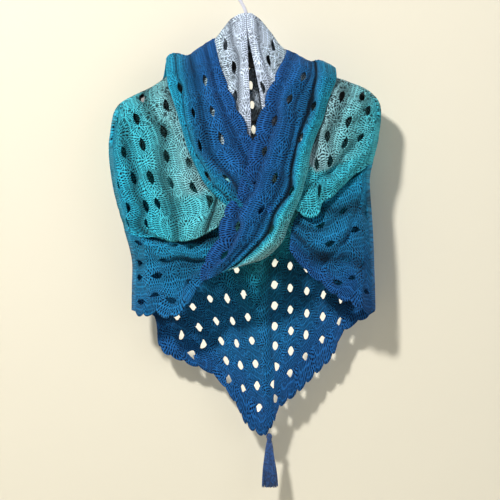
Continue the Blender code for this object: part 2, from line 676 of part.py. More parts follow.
def hanger():
    """Contoured arms with a rail below, joined by a short post at each end."""
    bm = bmesh.new()
    loops = []
    for x, top, bottom, half in HANGER:
        middle = (top + bottom) / 2
        tall = (bottom - top) / 2 * UNIT
        loop = []
        for k in range(12):
            angle = k * math.tau / 12
            loop.append(bm.verts.new(((x - CENTRE_X) * UNIT, half / 1000 * math.cos(angle),
                                      PEAK_Z - (middle - PEAK_Y) * UNIT + tall * math.sin(angle))))
        loops.append(loop)
    for low, high in zip(loops, loops[1:]):
        for k in range(12):
            bm.faces.new((low[k], low[(k + 1) % 12], high[(k + 1) % 12], high[k]))
    bm.faces.new(list(reversed(loops[0])))
    bm.faces.new(loops[-1])
    bmesh.ops.recalc_face_normals(bm, faces=bm.faces)
    mesh = bpy.data.meshes.new("hanger")
    bm.to_mesh(mesh)
    bm.free()
    arms = new_object("hanger", mesh, COLOURS["hanger"], 0.4)
    points = []
    (x0, y0), (x1, y1) = BAR
    for x, y in ((x0, y0 - 12), (x0, y0), (x1, y1), (x1, y1 - 13)):
        points.append(((x - CENTRE_X) * UNIT, 0, PEAK_Z - (y - PEAK_Y) * UNIT))
    rail = wire("rail", points, BAR_RADIUS, 2)
    mesh = solid_mesh(rail, "rail")
    other = bpy.data.objects.new("rail", mesh)
    bpy.context.scene.collection.objects.link(other)
    combine(arms, other, "UNION")
    bpy.ops.mesh.primitive_cylinder_add(vertices=24, radius=HOOK_WIRE + SOCKET_PLAY, depth=0.05,
                                        location=(0, 0, PEAK_Z - (SOCKET_Y - PEAK_Y) * UNIT))
    combine(arms, bpy.context.object, "DIFFERENCE")


def hook():
    """A round hook on a stem that leans to the left and sits in the hanger's socket."""
    centre = Vector((0, 0, HOOK_WIRE - HOOK_RADIUS))
    base = Vector((0, 0, PEAK_Z - 0.004))
    foot = Vector((0, 0, PEAK_Z - (STEM_FOOT_Y - PEAK_Y) * UNIT))
    start = math.radians(HOOK_START)
    end = math.radians(HOOK_END)
    arc = []
    for k in range(25):
        angle = start + (end - start) * k / 24
        arc.append(centre + Vector((HOOK_RADIUS * math.cos(angle), 0, HOOK_RADIUS * math.sin(angle))))
    points = [foot, base]
    for k in range(1, 8):
        t = k / 8
        lead = arc[0] - (arc[1] - arc[0]) * 4
        points.append(base * (1 - t) ** 3 + (base + Vector((0, 0, 0.014))) * (3 * t * (1 - t) ** 2)
                      + lead * (3 * t * t * (1 - t)) + arc[0] * t ** 3)
    thing = wire("hook", points + arc, HOOK_WIRE, 2)
    new_object("hook", solid_mesh(thing, "hook"), COLOURS["hook"], 0.3)


for old in list(bpy.data.objects):
    bpy.data.objects.remove(old)
shawl = bpy.data.collections.new("crochet_shawl")
bpy.context.scene.collection.children.link(shawl)
cloth()
tassel()
hanger()
hook()
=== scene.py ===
# The crochet shawl on its hanger, dressed in fine lace over the plain solids: metres, +Z up, front -Y.
# Layout tables are in units of 1.75 mm: x to the right with the hook's line at 246, y down with the
# shawl's peak at 10. Heights and depths in the tables are in mm.
import math

import bpy
import numpy as np
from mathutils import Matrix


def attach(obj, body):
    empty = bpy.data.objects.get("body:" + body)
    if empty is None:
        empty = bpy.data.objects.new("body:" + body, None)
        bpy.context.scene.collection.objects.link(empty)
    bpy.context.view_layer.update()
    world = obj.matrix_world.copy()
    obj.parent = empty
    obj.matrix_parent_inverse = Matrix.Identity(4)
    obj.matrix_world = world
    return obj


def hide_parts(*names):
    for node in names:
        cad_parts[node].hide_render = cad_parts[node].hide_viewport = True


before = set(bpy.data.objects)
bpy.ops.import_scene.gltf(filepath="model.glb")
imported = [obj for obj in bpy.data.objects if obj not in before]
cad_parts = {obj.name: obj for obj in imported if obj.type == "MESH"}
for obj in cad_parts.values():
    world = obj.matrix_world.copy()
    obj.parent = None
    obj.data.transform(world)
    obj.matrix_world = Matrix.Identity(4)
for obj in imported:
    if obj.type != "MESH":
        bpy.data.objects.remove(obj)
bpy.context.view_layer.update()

UNIT = 0.00175
CENTRE_X = 246.0
PEAK_Y = 10.0
PEAK_Z = -0.062
THICKNESS = 0.0014

# How far the bands lie off the cape: on the chest, over the shoulders, and in their outer rolls.
UNDER_LIFT = 0.0065
OVER_LIFT = 0.0132
RIDGE_LIFT = 0.005
ROLL_RISE_OVER = 0.009
ROLL_RISE_UNDER = 0.017
# The rows of a band where its outer roll begins, and how many rows and stations the roll takes.
ROLL_START_OVER = 1.4
ROLL_START_UNDER = 2.2
ROLL_ROWS = 1.8
ROLL_STATIONS = 1.5
RIDGE_AFTER = 0.4

# The ridge is looked for above this height, by halving. A fold tapers off over this many half widths.
RIDGE_FLOOR = 120.0
HALVINGS = 24
FOLD_TAPER = 2.5

# The turn of the cape's sides: where it begins, how much of it cloth may fill, and where lifts fade.
EDGE_ZONE = 0.93
EDGE_FILL = 0.8
SIDE_FADE = 2.2

# An eyelet moves the layout near it: farthest move in units, and its reach and ease in cells.
FIT_LIMIT = 17
FIT_REACH = 0.6
FIT_EASE = 0.45

# A pleat fades out over this many stations; one this many mm deep is fully in shade.
PLEAT_FADE = 1.2
SHADE_DEPTH = 5.5
BAND_EDGE = 4.1

# Rings of the draped cape: height, left and right outline, depth before and behind the hanger in mm.
RINGS = np.array([
    (4, 241, 251, 8, 8),
    (11, 240, 252, 10, 9),
    (20, 226, 264, 16, 14),
    (32, 219, 272, 23, 20),
    (46, 205, 283, 30, 26),
    (60, 184, 303, 37, 30),
    (75, 166, 335, 43, 36),
    (86, 150, 364, 47, 39),
    (95, 131, 376, 50, 41),
    (103, 118, 381, 53, 43),
    (117, 111, 382, 58, 48),
    (146, 107.5, 378, 64, 52),
    (175, 110, 371, 68, 54),
    (203, 115.5, 372, 70, 55),
    (232, 124, 374, 71, 54),
    (260, 131, 375, 70, 52),
    (289, 131, 376, 68, 49),
    (316, 131, 376, 64, 45),
    (350, 136, 370, 56, 38),
    (400, 146, 366, 40, 24),
    (450, 156, 360, 30, 14),
])

# Rows of the front panels from the slit to the arm; each runs from the ridge down to the rolled edge.
FRONT_LEFT = [
    [(245.6, 11), (247, 32), (248.2, 60), (249.5, 92), (251, 128), (247, 158), (240, 186), (231, 208),
     (224, 222)],
    [(232, 17), (234, 36), (237, 62), (240, 92), (241, 128), (239, 158), (235, 186), (228, 208),
     (219, 226)],
    [(212, 42), (214, 58), (217, 80), (221, 106), (225, 132), (227, 160), (226, 186), (220, 208),
     (211, 231)],
    [(176, 67), (180, 84), (186, 104), (194, 126), (202, 150), (210, 172), (213, 194), (210, 214),
     (202, 236)],
    [(152, 85), (157, 100), (163, 118), (171, 138), (180, 158), (189, 180), (195, 202), (196, 222),
     (191, 240)],
    [(131, 95), (136, 108), (142, 124), (149, 143), (156, 162), (164, 184), (173, 206), (178, 225),
     (179, 241)],
    [(117, 104), (120, 117), (125, 132), (131, 149), (138, 167), (145, 187), (154, 208), (162, 226),
     (166, 240)],
    [(112.5, 115), (113.5, 130), (114, 147), (118, 162), (123, 178), (130, 195), (138, 213),
     (146, 227), (152, 237)],
    [(107.5, 143), (108, 152), (109, 163), (110, 174), (112, 185), (114.5, 196), (118, 207),
     (121, 217), (125, 228)],
]
FRONT_RIGHT = [
    [(246.4, 11), (247.8, 32), (253.2, 60), (258, 84), (262, 108), (264, 134), (270, 162), (282, 190),
     (295, 208)],
    [(258, 17), (262, 36), (267, 60), (272, 86), (276, 112), (279, 138), (284, 164), (292, 190),
     (300, 213)],
    [(287, 50), (288, 66), (290, 84), (292, 104), (294, 126), (296, 148), (299, 170), (302, 192),
     (306, 217)],
    [(314, 64), (314, 80), (313, 96), (312, 114), (311, 132), (311, 152), (311, 172), (312, 192),
     (314, 217)],
    [(338, 77), (335, 91), (331, 107), (326, 124), (322, 140), (320, 156), (319, 173), (320, 191),
     (322, 210)],
    [(357, 83), (353, 97), (348, 112), (342, 127), (336, 142), (332, 156), (330, 170), (330, 185),
     (330, 200)],
    [(372, 91), (369, 103), (364, 116), (359, 128), (353, 140), (347, 152), (342, 164), (339, 176),
     (339, 188)],
    [(379, 99), (377, 111), (375, 121), (372, 131), (368, 140), (364.5, 149), (361, 157), (358, 165),
     (355, 171)],
    [(382, 117), (382, 122), (381.5, 127), (381, 132), (380, 137), (379, 142), (377, 148), (375, 154),
     (373.5, 160)],
]
# Rows of the arm panels, tucked top to scalloped hem, from the outer edge inwards: x, y, lift in mm.
ARM_LEFT = [
    [(125, 229.5, -1), (139, 235, -2), (152, 239, -8), (165, 238, -17), (180, 233, -21),
     (198, 229, -22), (218, 226, -22)],
    [(129.5, 247, 0), (143, 249, 0), (158, 251, 0), (174, 252, -1), (190, 255, 0), (206, 254, -2),
     (222, 247, -8)],
    [(131, 266, 0), (145, 265, 0), (160, 262, -5), (176, 260, -12), (192, 261, -14), (208, 262, -8),
     (220, 258, -7)],
    [(131, 289, 0), (146, 289, 2), (160, 288, 0), (176, 285, -8), (192, 280, -9), (206, 272, -5),
     (217, 267, -7)],
    [(131, 312, 0), (143, 315, 3), (156, 312, -2), (171, 316, 4), (186, 305, 3), (197, 289, 0),
     (210, 275, -5)],
]
ARM_RIGHT = [
    [(373, 164, -1), (363, 171, -2), (353, 179, -6), (341, 186, -12), (328, 197, -15), (315, 206, -18),
     (301, 208, -18)],
    [(371.5, 188, 0), (361, 192, 0), (350, 195, -2), (338, 200, -6), (325, 211, -10), (312, 220, -14),
     (298, 214, -15)],
    [(373, 216, 0), (362, 219, 2), (349, 222, 2), (337, 227, 2), (324, 232, 0), (310, 231, -2),
     (294, 221, -8)],
    [(375, 248, 0), (363, 249, 0), (350, 251, 1), (337, 254, 3), (323, 253, 3), (308, 246, -2),
     (291, 230, -6)],
    [(375.5, 280, 0), (364, 280, 0), (351, 278, -2), (337, 274, -8), (323, 267, -12), (309, 258, -8),
     (290, 240, -4)],
    [(376, 312, 0), (363, 309, 2), (350, 301, 3), (336, 295, 1), (321, 282, -2), (306, 270, 1),
     (289, 250, -2)],
]
# Stations of the crossed bands, from the chest to the ridge: x, y and lift in mm of the navy edge,
# middle, pleat, strip and outer edge.
BAND_OVER = [
    [(201, 281, -6), (211, 278, -1), (221, 273, -2), (231, 269, 0), (241, 265, -2)],
    [(205, 262, -1), (219, 263, 2), (234, 262, 0), (248, 261, 3), (263, 259, 0)],
    [(219, 238, 0), (234, 242, 4), (254, 241, -2), (267, 244, 5), (281, 243, 0)],
    [(224, 216, 0), (242, 221, 4), (264, 222, -2), (278, 221, 5), (291, 218, 0)],
    [(237, 195, 0), (254, 199, 3), (274, 202, -2), (288, 201, 5), (300, 198, 0)],
    [(248, 165, 0), (263, 172, 3), (283, 178, -2), (296, 178, 5), (307, 173, 0)],
    [(255, 137, 0), (271, 145, 3), (293, 148, -2), (303, 149, 5), (312, 147, 0)],
    [(264, 107, 0), (282, 114, 3), (301, 119, -2), (312, 122, 5), (322, 122, 0)],
    [(274, 81, 0), (290, 89, 3), (308, 93, -2), (319, 97, 5), (329, 98, 0)],
    [(284, 58, 0), (297, 66, 2), (313, 74, -2), (324, 78, 4), (336, 80, 0)],
]
BAND_UNDER = [
    [(284, 203, -3), (274, 211, -2), (264, 217, -2), (254, 221, -2), (246, 222, -2)],
    [(268, 178, 0), (256, 187, 1), (243, 195, -1), (233, 200, 2), (224, 204, 0)],
    [(257, 157, 0), (244, 166, 2), (228, 176, -2), (215, 182, 4), (205, 184, 0)],
    [(248, 134, 0), (232, 142, 2), (210, 149, -3), (199, 153, 4), (190, 154, 0)],
    [(237, 110, 0), (221, 116, 2), (203, 121, -3), (191, 124, 4), (181, 126, 0)],
    [(228, 89, 0), (213, 94, 2), (199, 99, -3), (186, 102, 4), (174, 103, 0)],
    [(220, 65, 0), (208, 70, 2), (194, 75, -3), (181, 80, 3), (168, 84, 0)],
]
# The bands' ends hang behind the shoulders: across the ridge, then down to a point.
TIP_RIGHT = [
    [(289, 48, 0), (301, 53, 2), (314, 60, -2), (323, 61, 4), (337, 72, 0)],
    [(292, 66, 0), (305, 70, 2), (318, 78, -1), (330, 84, 3), (344, 92, 0)],
    [(300, 96, 0), (313, 102, 2), (326, 108, 0), (339, 114, 2), (352, 120, 0)],
    [(316, 132, 0), (326, 137, 1), (336, 142, 0), (346, 147, 1), (356, 152, 0)],
    [(336, 172, 0), (341, 174, 1), (346, 176, 0), (351, 178, 1), (357, 181, 0)],
]
TIP_LEFT = [
    [(211, 42, 0), (201, 45, 2), (189, 52, -3), (178, 57, 2), (164, 63, 0)],
    [(206, 62, 0), (194, 66, 2), (182, 72, -2), (170, 79, 2), (157, 87, 0)],
    [(198, 92, 0), (186, 98, 2), (173, 104, 0), (160, 110, 2), (147, 116, 0)],
    [(183, 128, 0), (173, 133, 1), (163, 138, 0), (153, 143, 1), (143, 148, 0)],
    [(163, 168, 0), (158, 170, 1), (153, 172, 0), (148, 174, 1), (142, 177, 0)],
]
# Rows of the back, peak to hem: the spine's point and the two ends at the sides.
BACK_ROWS = [
    ((246, 12), (241, 12), (251, 12)),
    ((246, 51), (222, 28), (269, 29)),
    ((247, 93), (203, 49), (288, 51)),
    ((249, 134), (179, 65), (316, 67)),
    ((251, 175), (154, 85), (352, 82)),
    ((254, 217), (123, 100), (379, 100)),
    ((256, 258), (107.5, 142), (380.5, 133)),
    ((258, 299), (112, 189), (371, 180)),
    ((260, 341), (126, 238), (373.5, 226)),
    ((262, 382), (131, 281), (375.5, 268)),
]
# The hem from the point outwards.
HEM_LEFT = [
    (264, 438), (247, 427), (235, 405), (213, 377), (183, 363), (159, 349), (153, 318), (131, 304),
]
HEM_RIGHT = [
    (264, 438), (274, 424), (280, 409), (298, 394), (316, 376), (334, 357), (346, 332), (376, 313),
]
TASSEL_TOP = (268, 439.95)
TASSEL_END_Y = 491

# Soft folds: start, end, half width in layout units, height in mm.
FOLDS = {
    "front_left": [
        ((140, 100), (172, 225), 6, -4),
        ((158, 120), (190, 232), 5, 3),
        ((120, 130), (150, 232), 5, 3),
        ((228, 40), (236, 140), 4, 2),
    ],
    "front_right": [
        ((366, 110), (340, 160), 6, -3),
        ((278, 40), (270, 120), 4, 2),
        ((372, 145), (342, 178), 5, 5),
        ((342, 178), (306, 202), 5, 5),
        ((361, 138), (333, 170), 3, -5),
        ((333, 170), (302, 193), 3, -5),
    ],
    "arm_left": [((140, 272), (150, 314), 4, -4), ((168, 292), (190, 300), 5, 3)],
    "arm_right": [
        ((345, 225), (362, 300), 5, 3),
        ((318, 240), (340, 290), 5, -3),
        ((363, 195), (347, 238), 3, -5),
        ((347, 238), (326, 262), 3, -5),
    ],
    "band_over": [((286, 80), (232, 232), 4, -2)],
    "band_under": [((212, 66), (240, 160), 4, -2)],
    "back": [
        ((264, 120), (266, 436), 4, -5),
        ((200, 120), (215, 380), 12, 5),
        ((330, 120), (318, 370), 12, 5),
        ((160, 120), (170, 340), 10, -5),
        ((290, 150), (290, 400), 8, -3),
    ],
}

# Where the eyelets lie, in layout units; each is given to the crochet cell nearest to it.
EYELETS = {
    "front_left": [
        (115, 122), (123, 151), (135, 180), (148, 206), (137, 118), (143, 147), (151, 176), (157, 204),
        (166, 106), (165, 131), (167, 156), (171, 183), (190, 165), (192, 190), (212, 200), (141, 97),
        (116, 185), (129, 206), (124, 224), (146, 223), (235, 68), (235, 98), (225, 46),
    ],
    "front_right": [
        (342, 95), (368, 109), (348, 121), (362, 98), (326, 135), (331, 163), (316, 166), (317, 190),
        (274, 47), (267.5, 60), (262.5, 90), (361, 136), (345, 146),
    ],
    "arm_left": [
        (140, 243), (139, 264), (164, 261), (138, 277), (159, 276), (185, 283), (154, 293), (142, 303),
        (173, 301), (190, 247), (172, 244),
    ],
    "arm_right": [
        (343, 211), (321, 226), (329, 244), (369, 215), (354, 229), (363, 250), (344, 259), (371, 267),
        (354, 276), (338, 284), (366, 292),
    ],
    "band_over": [
        (304, 77), (315, 107), (275, 122), (265, 152), (275, 177), (292, 193), (261, 211), (239, 226),
        (253, 189), (272, 230), (225, 256), (288, 100), (300, 140),
    ],
    "band_under": [
        (200, 148), (193, 113), (213, 113), (209, 178), (226, 178), (222, 140), (205, 80), (181, 88),
    ],
    "back": [
        (275, 263), (275, 286), (275, 307), (275, 328), (275.5, 348), (275, 368), (276, 387), (275, 402),
        (291, 266), (291, 289), (291, 311), (292, 333), (292, 353), (291, 373), (290, 390), (308, 268),
        (308, 292), (308, 315), (307, 337), (306, 357), (305, 373), (325, 272), (325, 296), (324, 318),
        (323, 340), (321, 356), (343, 300), (341, 322), (339, 340),
        (237, 270), (243, 295), (226, 298), (209, 301), (191, 308), (248, 319), (232, 321), (216, 324),
        (198, 329), (181, 337), (252, 343), (236, 344), (221, 344), (204, 347), (188, 354), (256, 367),
        (240, 366), (226, 364), (209, 362), (257, 389), (243, 388), (230, 383), (260, 409), (245, 411),
        (175, 318), (249, 62), (251, 82), (252, 101), (254, 128),
    ],
}
# Size of an eyelet along its row and across it, in mm.
EYELET_SIZE = {
    "front_left": (25, 11), "front_right": (24, 11), "arm_left": (22, 10), "arm_right": (22, 10),
    "band_over": (22, 9), "band_under": (24, 8), "back": (8.4, 15),
}

# Hollows painted darker as painted shade: middle, half sizes in layout units, depth of the painted
# shade.
HOLLOWS = {
    "arm_left": [
        ((196, 240), (32, 6), 1.0),
        ((204, 235), (16, 8), 0.9),
        ((190, 264), (20, 7), 0.6),
        ((176, 274), (22, 6), 0.35),
    ],
    "arm_right": [
        ((320, 257), (15, 7), 0.85),
        ((322, 210), (26, 7), 0.8),
        ((300, 240), (8, 24), 0.4),
        ((357, 214), (3, 12), 0.4),
        ((345, 243), (4, 8), 0.5),
    ],
    "front_left": [((216, 208), (7, 30), 0.35), ((192, 150), (5, 34), 0.3), ((246, 135), (6, 14), 0.3)],
    "front_right": [
        ((304, 190), (6, 18), 0.4),
        ((314, 130), (3, 38), 0.2),
        ((353, 148), (4, 7), 0.45),
        ((341, 162), (5, 6), 0.55),
        ((327, 176), (6, 5), 0.6),
        ((312, 187), (8, 4), 0.6),
    ],
    "band_over": [((216, 270), (20, 5), 0.3)],
    "band_under": [((236, 195), (10, 12), 0.4), ((248, 165), (8, 16), 0.3)],
    "back": [((265, 268), (60, 14), 0.5), ((160, 318), (34, 10), 0.5), ((355, 300), (34, 10), 0.6)],
}

# Pleats and creases laid over the panels: their line as (station, row) points, half width in rows,
# height in mm.
PLEATS = {
    "front_left": [
        (((0, 3.1), (4, 2.9), (8, 2.6)), 0.35, -5),
        (((0, 4.4), (3, 4.6), (6, 4.9), (8, 5.2)), 0.35, -4),
        (((0, 3.7), (4, 3.8), (8, 4.0)), 0.40, 4),
        (((0, 5.4), (3, 5.7), (8, 6.3)), 0.40, 4),
        (((2, 6.2), (5, 6.6), (8, 7.0)), 0.35, -4),
        (((0, 1.1), (3, 1.3), (5, 1.4)), 0.18, -3),
        (((0, 0.55), (5, 0.6)), 0.20, 2),
    ],
    "front_right": [
        (((0, 3.3), (4, 3.4)), 0.32, -4),
        (((0, 4.6), (4, 4.7)), 0.30, -2.5),
        (((0, 4.0), (4, 4.0)), 0.36, 5),
        (((0, 5.4), (4, 5.5)), 0.36, 4),
        (((0, 6.2), (4, 6.25)), 0.26, -1.5),
        (((0, 0.9), (4, 1.1)), 0.16, -3),
        (((0, 0.45), (4, 0.5)), 0.20, 2),
    ],
    "arm_left": [
        (((0, 0.55), (3, 0.6), (6, 0.8)), 0.30, 3),
        (((0, 1.5), (6, 1.8)), 0.35, -2),
        (((0, 2.8), (3, 2.4), (6, 2.6)), 0.4, 3),
    ],
    "arm_right": [
        (((0, 1.3), (3, 1.6), (6, 2.0)), 0.30, -3),
        (((0, 2.0), (3, 2.4), (6, 2.9)), 0.4, 3),
        (((1, 3.8), (3, 3.3), (6, 3.0)), 0.30, -3),
        (((0, 4.3), (3, 4.0), (6, 4.3)), 0.35, 3),
    ],
    "band_over": [
        (((0, 2.6), (2, 2.35), (5, 2.3), (10, 2.25), (14, 2.1)), 0.17, -7),
        (((0, 3.2), (3, 3.05), (10, 3.0), (14, 3.0)), 0.42, 7),
        (((0, 1.0), (5, 1.15), (10, 1.1), (14, 1.2)), 0.40, 5),
        (((1, 1.85), (6, 1.8), (11, 1.85)), 0.14, -3.5),
        (((2, 0.5), (11, 0.5)), 0.20, -2.5),
        (((0, 4.15), (14, 4.15)), 0.30, -5),
    ],
    "band_under": [
        (((0, 2.2), (2, 2.1), (6, 2.0), (11, 2.0)), 0.21, -3.8),
        (((0, 2.9), (6, 2.75), (11, 2.7)), 0.40, 7),
        (((0, 1.3), (4, 1.35), (11, 1.4)), 0.36, 6),
        (((1, 0.75), (8, 0.8)), 0.18, -2.5),
        (((1, 3.35), (8, 3.3)), 0.10, -4),
        (((0, 4.15), (11, 4.15)), 0.30, -4),
        (((5, 2.05), (8, 2.0)), 0.25, 2.5),
    ],
    "back": [],
}


def smoothstep(t):
    t = np.clip(t, 0, 1)
    return t * t * (3 - 2 * t)


def curve(at, column):
    """One column of the rings, read along a smooth curve."""
    keys, values = RINGS[:, 0], RINGS[:, column]
    slopes = np.empty_like(values)
    slopes[1:-1] = (values[2:] - values[:-2]) / (keys[2:] - keys[:-2])
    slopes[0] = (values[1] - values[0]) / (keys[1] - keys[0])
    slopes[-1] = (values[-1] - values[-2]) / (keys[-1] - keys[-2])
    at = np.clip(at, keys[0], keys[-1])
    i = np.clip(np.searchsorted(keys, at) - 1, 0, len(keys) - 2)
    step = keys[i + 1] - keys[i]
    t = (at - keys[i]) / step
    bend = slopes[i] * step * t * (1 - t) ** 2 - slopes[i + 1] * step * t * t * (1 - t)
    return values[i] + (values[i + 1] - values[i]) * smoothstep(t) + bend


def ring(y, lift):
    """Middle, half width and table height of the cape's outline at y, grown by lift."""
    grow = lift / UNIT
    level = y + grow
    left = curve(level, 1) - grow
    right = curve(level, 2) + grow
    return (left + right) / 2, (right - left) / 2, level


def ridge(x, lift):
    """The height at which a column of the grown cape meets its top outline."""
    low = np.full_like(x, PEAK_Y + 1)
    high = np.full_like(x, RIDGE_FLOOR)
    for _ in range(HALVINGS):
        mid = (low + high) / 2
        centre, half, _ = ring(mid, lift)
        inside = np.abs(x - centre) < half
        high = np.where(inside, mid, high)
        low = np.where(inside, low, mid)
    return high


def side_x(x, y):
    """The cape's own side at y, on the side of the hook's line that x is on."""
    centre, half, _ = ring(np.array([float(y)]), 0.0)
    return float((centre - half if x < centre else centre + half)[0])


def place(x, y, lift, behind=False, base=0.0, inner=True):
    """Layout points on the cape, pushed out by lift; base is the layer's own height over it."""
    centre, half, level = ring(y, base)
    ratio = (x - centre) / half
    across = np.clip(ratio, -1, 1)
    past = np.abs(ratio) - EDGE_ZONE
    room = 1 - EDGE_ZONE
    squeezed = EDGE_ZONE + room * EDGE_FILL * (1 - np.exp(-np.maximum(past, 0) / room))
    across = np.where(inner & (past > 0), np.copysign(squeezed, ratio), across)
    rise = np.sqrt(np.maximum(0, 1 - across * across))
    depth = np.where(behind, curve(level, 4), curve(level, 3)) / 1000 + base
    reach = rise * depth + lift * np.minimum(1, rise * SIDE_FADE)
    side = np.where(behind, 1.0, -1.0)
    return np.stack([
        (centre + half * across - CENTRE_X) * UNIT,
        side * reach,
        PEAK_Z - (y - PEAK_Y) * UNIT,
    ], -1)


def fold_height(name, x, y):
    """Height of a panel's soft folds, in metres."""
    total = np.zeros_like(x)
    for (x0, y0), (x1, y1), width, height in FOLDS[name]:
        dx, dy = x1 - x0, y1 - y0
        length = math.hypot(dx, dy)
        along = ((x - x0) * dx + (y - y0) * dy) / length
        across = ((x - x0) * dy - (y - y0) * dx) / length
        past = np.maximum(0, np.maximum(-along, along - length))
        total += height / 1000 * np.exp(-((across / width) ** 2) - (past / (FOLD_TAPER * width)) ** 2)
    return total


def pleat_share(line, width, a, b):
    """How fully a point takes part in one pleat, 0 to 1."""
    stations, rows = zip(*line)
    fade = np.clip((b - stations[0]) / PLEAT_FADE + 1, 0, 1)
    fade *= np.clip((stations[-1] - b) / PLEAT_FADE + 1, 0, 1)
    return np.exp(-((a - np.interp(b, stations, rows)) / width) ** 2) * fade


def pleats(name, a, b):
    """Height of a panel's pleats, in metres."""
    total = np.zeros_like(a)
    for line, width, height in PLEATS[name]:
        total += height / 1000 * pleat_share(line, width, a, b)
    return total


def creased(name, a, b):
    """How deep a point lies in the pleats, 0 to 1, to darken them as they are in shade."""
    total = np.zeros_like(a)
    for line, width, height in PLEATS[name]:
        along_edge = name.startswith("band") and line[0][1] > BAND_EDGE
        if height < 0 and not along_edge:
            total -= height / SHADE_DEPTH * pleat_share(line, width, a, b)
    return np.clip(total, 0, 1)


def guide(rows):
    """Smooth surface through a net of guide points: a runs over the rows, b over the stations."""
    net = np.array([[(p[0], p[1], p[2] if len(p) > 2 else 0) for p in row] for row in rows], float)
    net = np.concatenate([2 * net[:1] - net[1:2], net, 2 * net[-1:] - net[-2:-1]])
    net = np.concatenate([2 * net[:, :1] - net[:, 1:2], net, 2 * net[:, -1:] - net[:, -2:-1]], 1)
    last_a, last_b = len(rows) - 1, len(rows[0]) - 1

    def weights(t):
        return (
            (-t + 2 * t * t - t ** 3) / 2,
            (2 - 5 * t * t + 3 * t ** 3) / 2,
            (t + 4 * t * t - 3 * t ** 3) / 2,
            (t ** 3 - t * t) / 2,
        )

    def read(a, b):
        i = np.clip(a.astype(int), 0, last_a - 1)
        j = np.clip(b.astype(int), 0, last_b - 1)
        along_a, along_b = weights(a - i), weights(b - j)
        total = np.zeros(a.shape + (3,))
        for m in range(4):
            for n in range(4):
                total += (along_a[m] * along_b[n])[..., None] * net[i + m, j + n]
        return total
    return read


def fitted(name, read, a_cells, b_cells):
    """Moves a panel's layout so that its cells sit on their eyelets. Gives it with the cells used."""
    middle_a = [(low + high) / 2 for low, high in zip(a_cells, a_cells[1:])]
    middle_b = [(low + high) / 2 for low, high in zip(b_cells, b_cells[1:])]
    free = {}
    for i, a in enumerate(middle_a):
        for j, b in enumerate(middle_b):
            free[(i, j)] = read(np.array([a]), np.array([b]))[0][:2]
    anchors = []
    for x, y in EYELETS[name]:
        cell = min(free, key=lambda key: math.hypot(free[key][0] - x, free[key][1] - y))
        shift = np.array([x, y]) - free[cell]
        if np.hypot(*shift) < FIT_LIMIT:
            anchors.append((cell, shift))
            del free[cell]
    size_a = (a_cells[-1] - a_cells[0]) / len(middle_a)
    size_b = (b_cells[-1] - b_cells[0]) / len(middle_b)

    def moved(a, b):
        p = read(a, b)
        total = np.zeros(a.shape + (2,))
        weight = np.zeros(a.shape)
        for (i, j), shift in anchors:
            off_a = (a - middle_a[i]) / size_a / FIT_REACH
            off_b = (b - middle_b[j]) / size_b / FIT_REACH
            near = np.exp(-off_a ** 2 - off_b ** 2)
            total += near[..., None] * shift
            weight += near
        inside = np.minimum(np.minimum(a - a_cells[0], a_cells[-1] - a) / size_a,
                            np.minimum(b - b_cells[0], b_cells[-1] - b) / size_b)
        ease = np.clip(inside / FIT_EASE, 0, 1)
        p[..., :2] += total / np.maximum(weight, 1)[..., None] * ease[..., None]
        return p
    return moved, {cell for cell, _ in anchors}


def front_surface(name, rows, roll, a_cells, b_cells):
    """A front panel; its lower edge rolls inwards, less and less towards the arm."""
    roll_rows, roll_build, droop = 2.5, 3.5, 2.6
    roll_middle, roll_half = -0.6, 0.9
    tuck_back, tuck_up = 0.006, 0.001
    tops = ridge(np.array([float(row[0][0]) for row in rows[:-1]]), 0.0)
    rows = [[(row[0][0], top)] + row[1:] for row, top in zip(rows, tops)] + [rows[-1]]
    rows[-1] = [(side_x(x, y), y) for x, y in rows[-1]]
    read, cells = fitted(name, guide(rows), a_cells, b_cells)
    last_a, last_b = len(rows) - 1, len(rows[0]) - 1

    def surface(a, b):
        p = read(a, np.minimum(b, last_b))
        inner = np.clip((last_a - 1 - a) / roll_rows, 0, 1)
        beyond = np.maximum(0, b - last_b)
        x, y = p[..., 0], p[..., 1] + beyond * (1 - inner) * droop
        bulge = roll * inner * np.minimum(1, a / roll_build)
        bulge *= np.exp(-((b - last_b - roll_middle) / roll_half) ** 2)
        lift = fold_height(name, x, y) + pleats(name, a, b) * np.minimum(1, b * 2) + bulge
        point = place(x, y, lift, inner=(b > 0) & (a < last_a))
        point[..., 1] += tuck_back * beyond * inner
        point[..., 2] += tuck_up * beyond * inner
        return point
    return surface, cells


def arm_surface(name, rows, a_cells, b_cells):
    """An arm panel, its outer edge on the side of the cape."""
    rows = [[(side_x(row[0][0], row[0][1]), row[0][1], 0)] + row[1:] for row in rows]
    read, cells = fitted(name, guide(rows), a_cells, b_cells)

    def surface(a, b):
        p = read(a, b)
        x, y = p[..., 0], p[..., 1]
        lift = p[..., 2] / 1000 + (fold_height(name, x, y) + pleats(name, a, b)) * np.minimum(1, b)
        return place(x, y, lift, inner=b > 0)
    return surface, cells


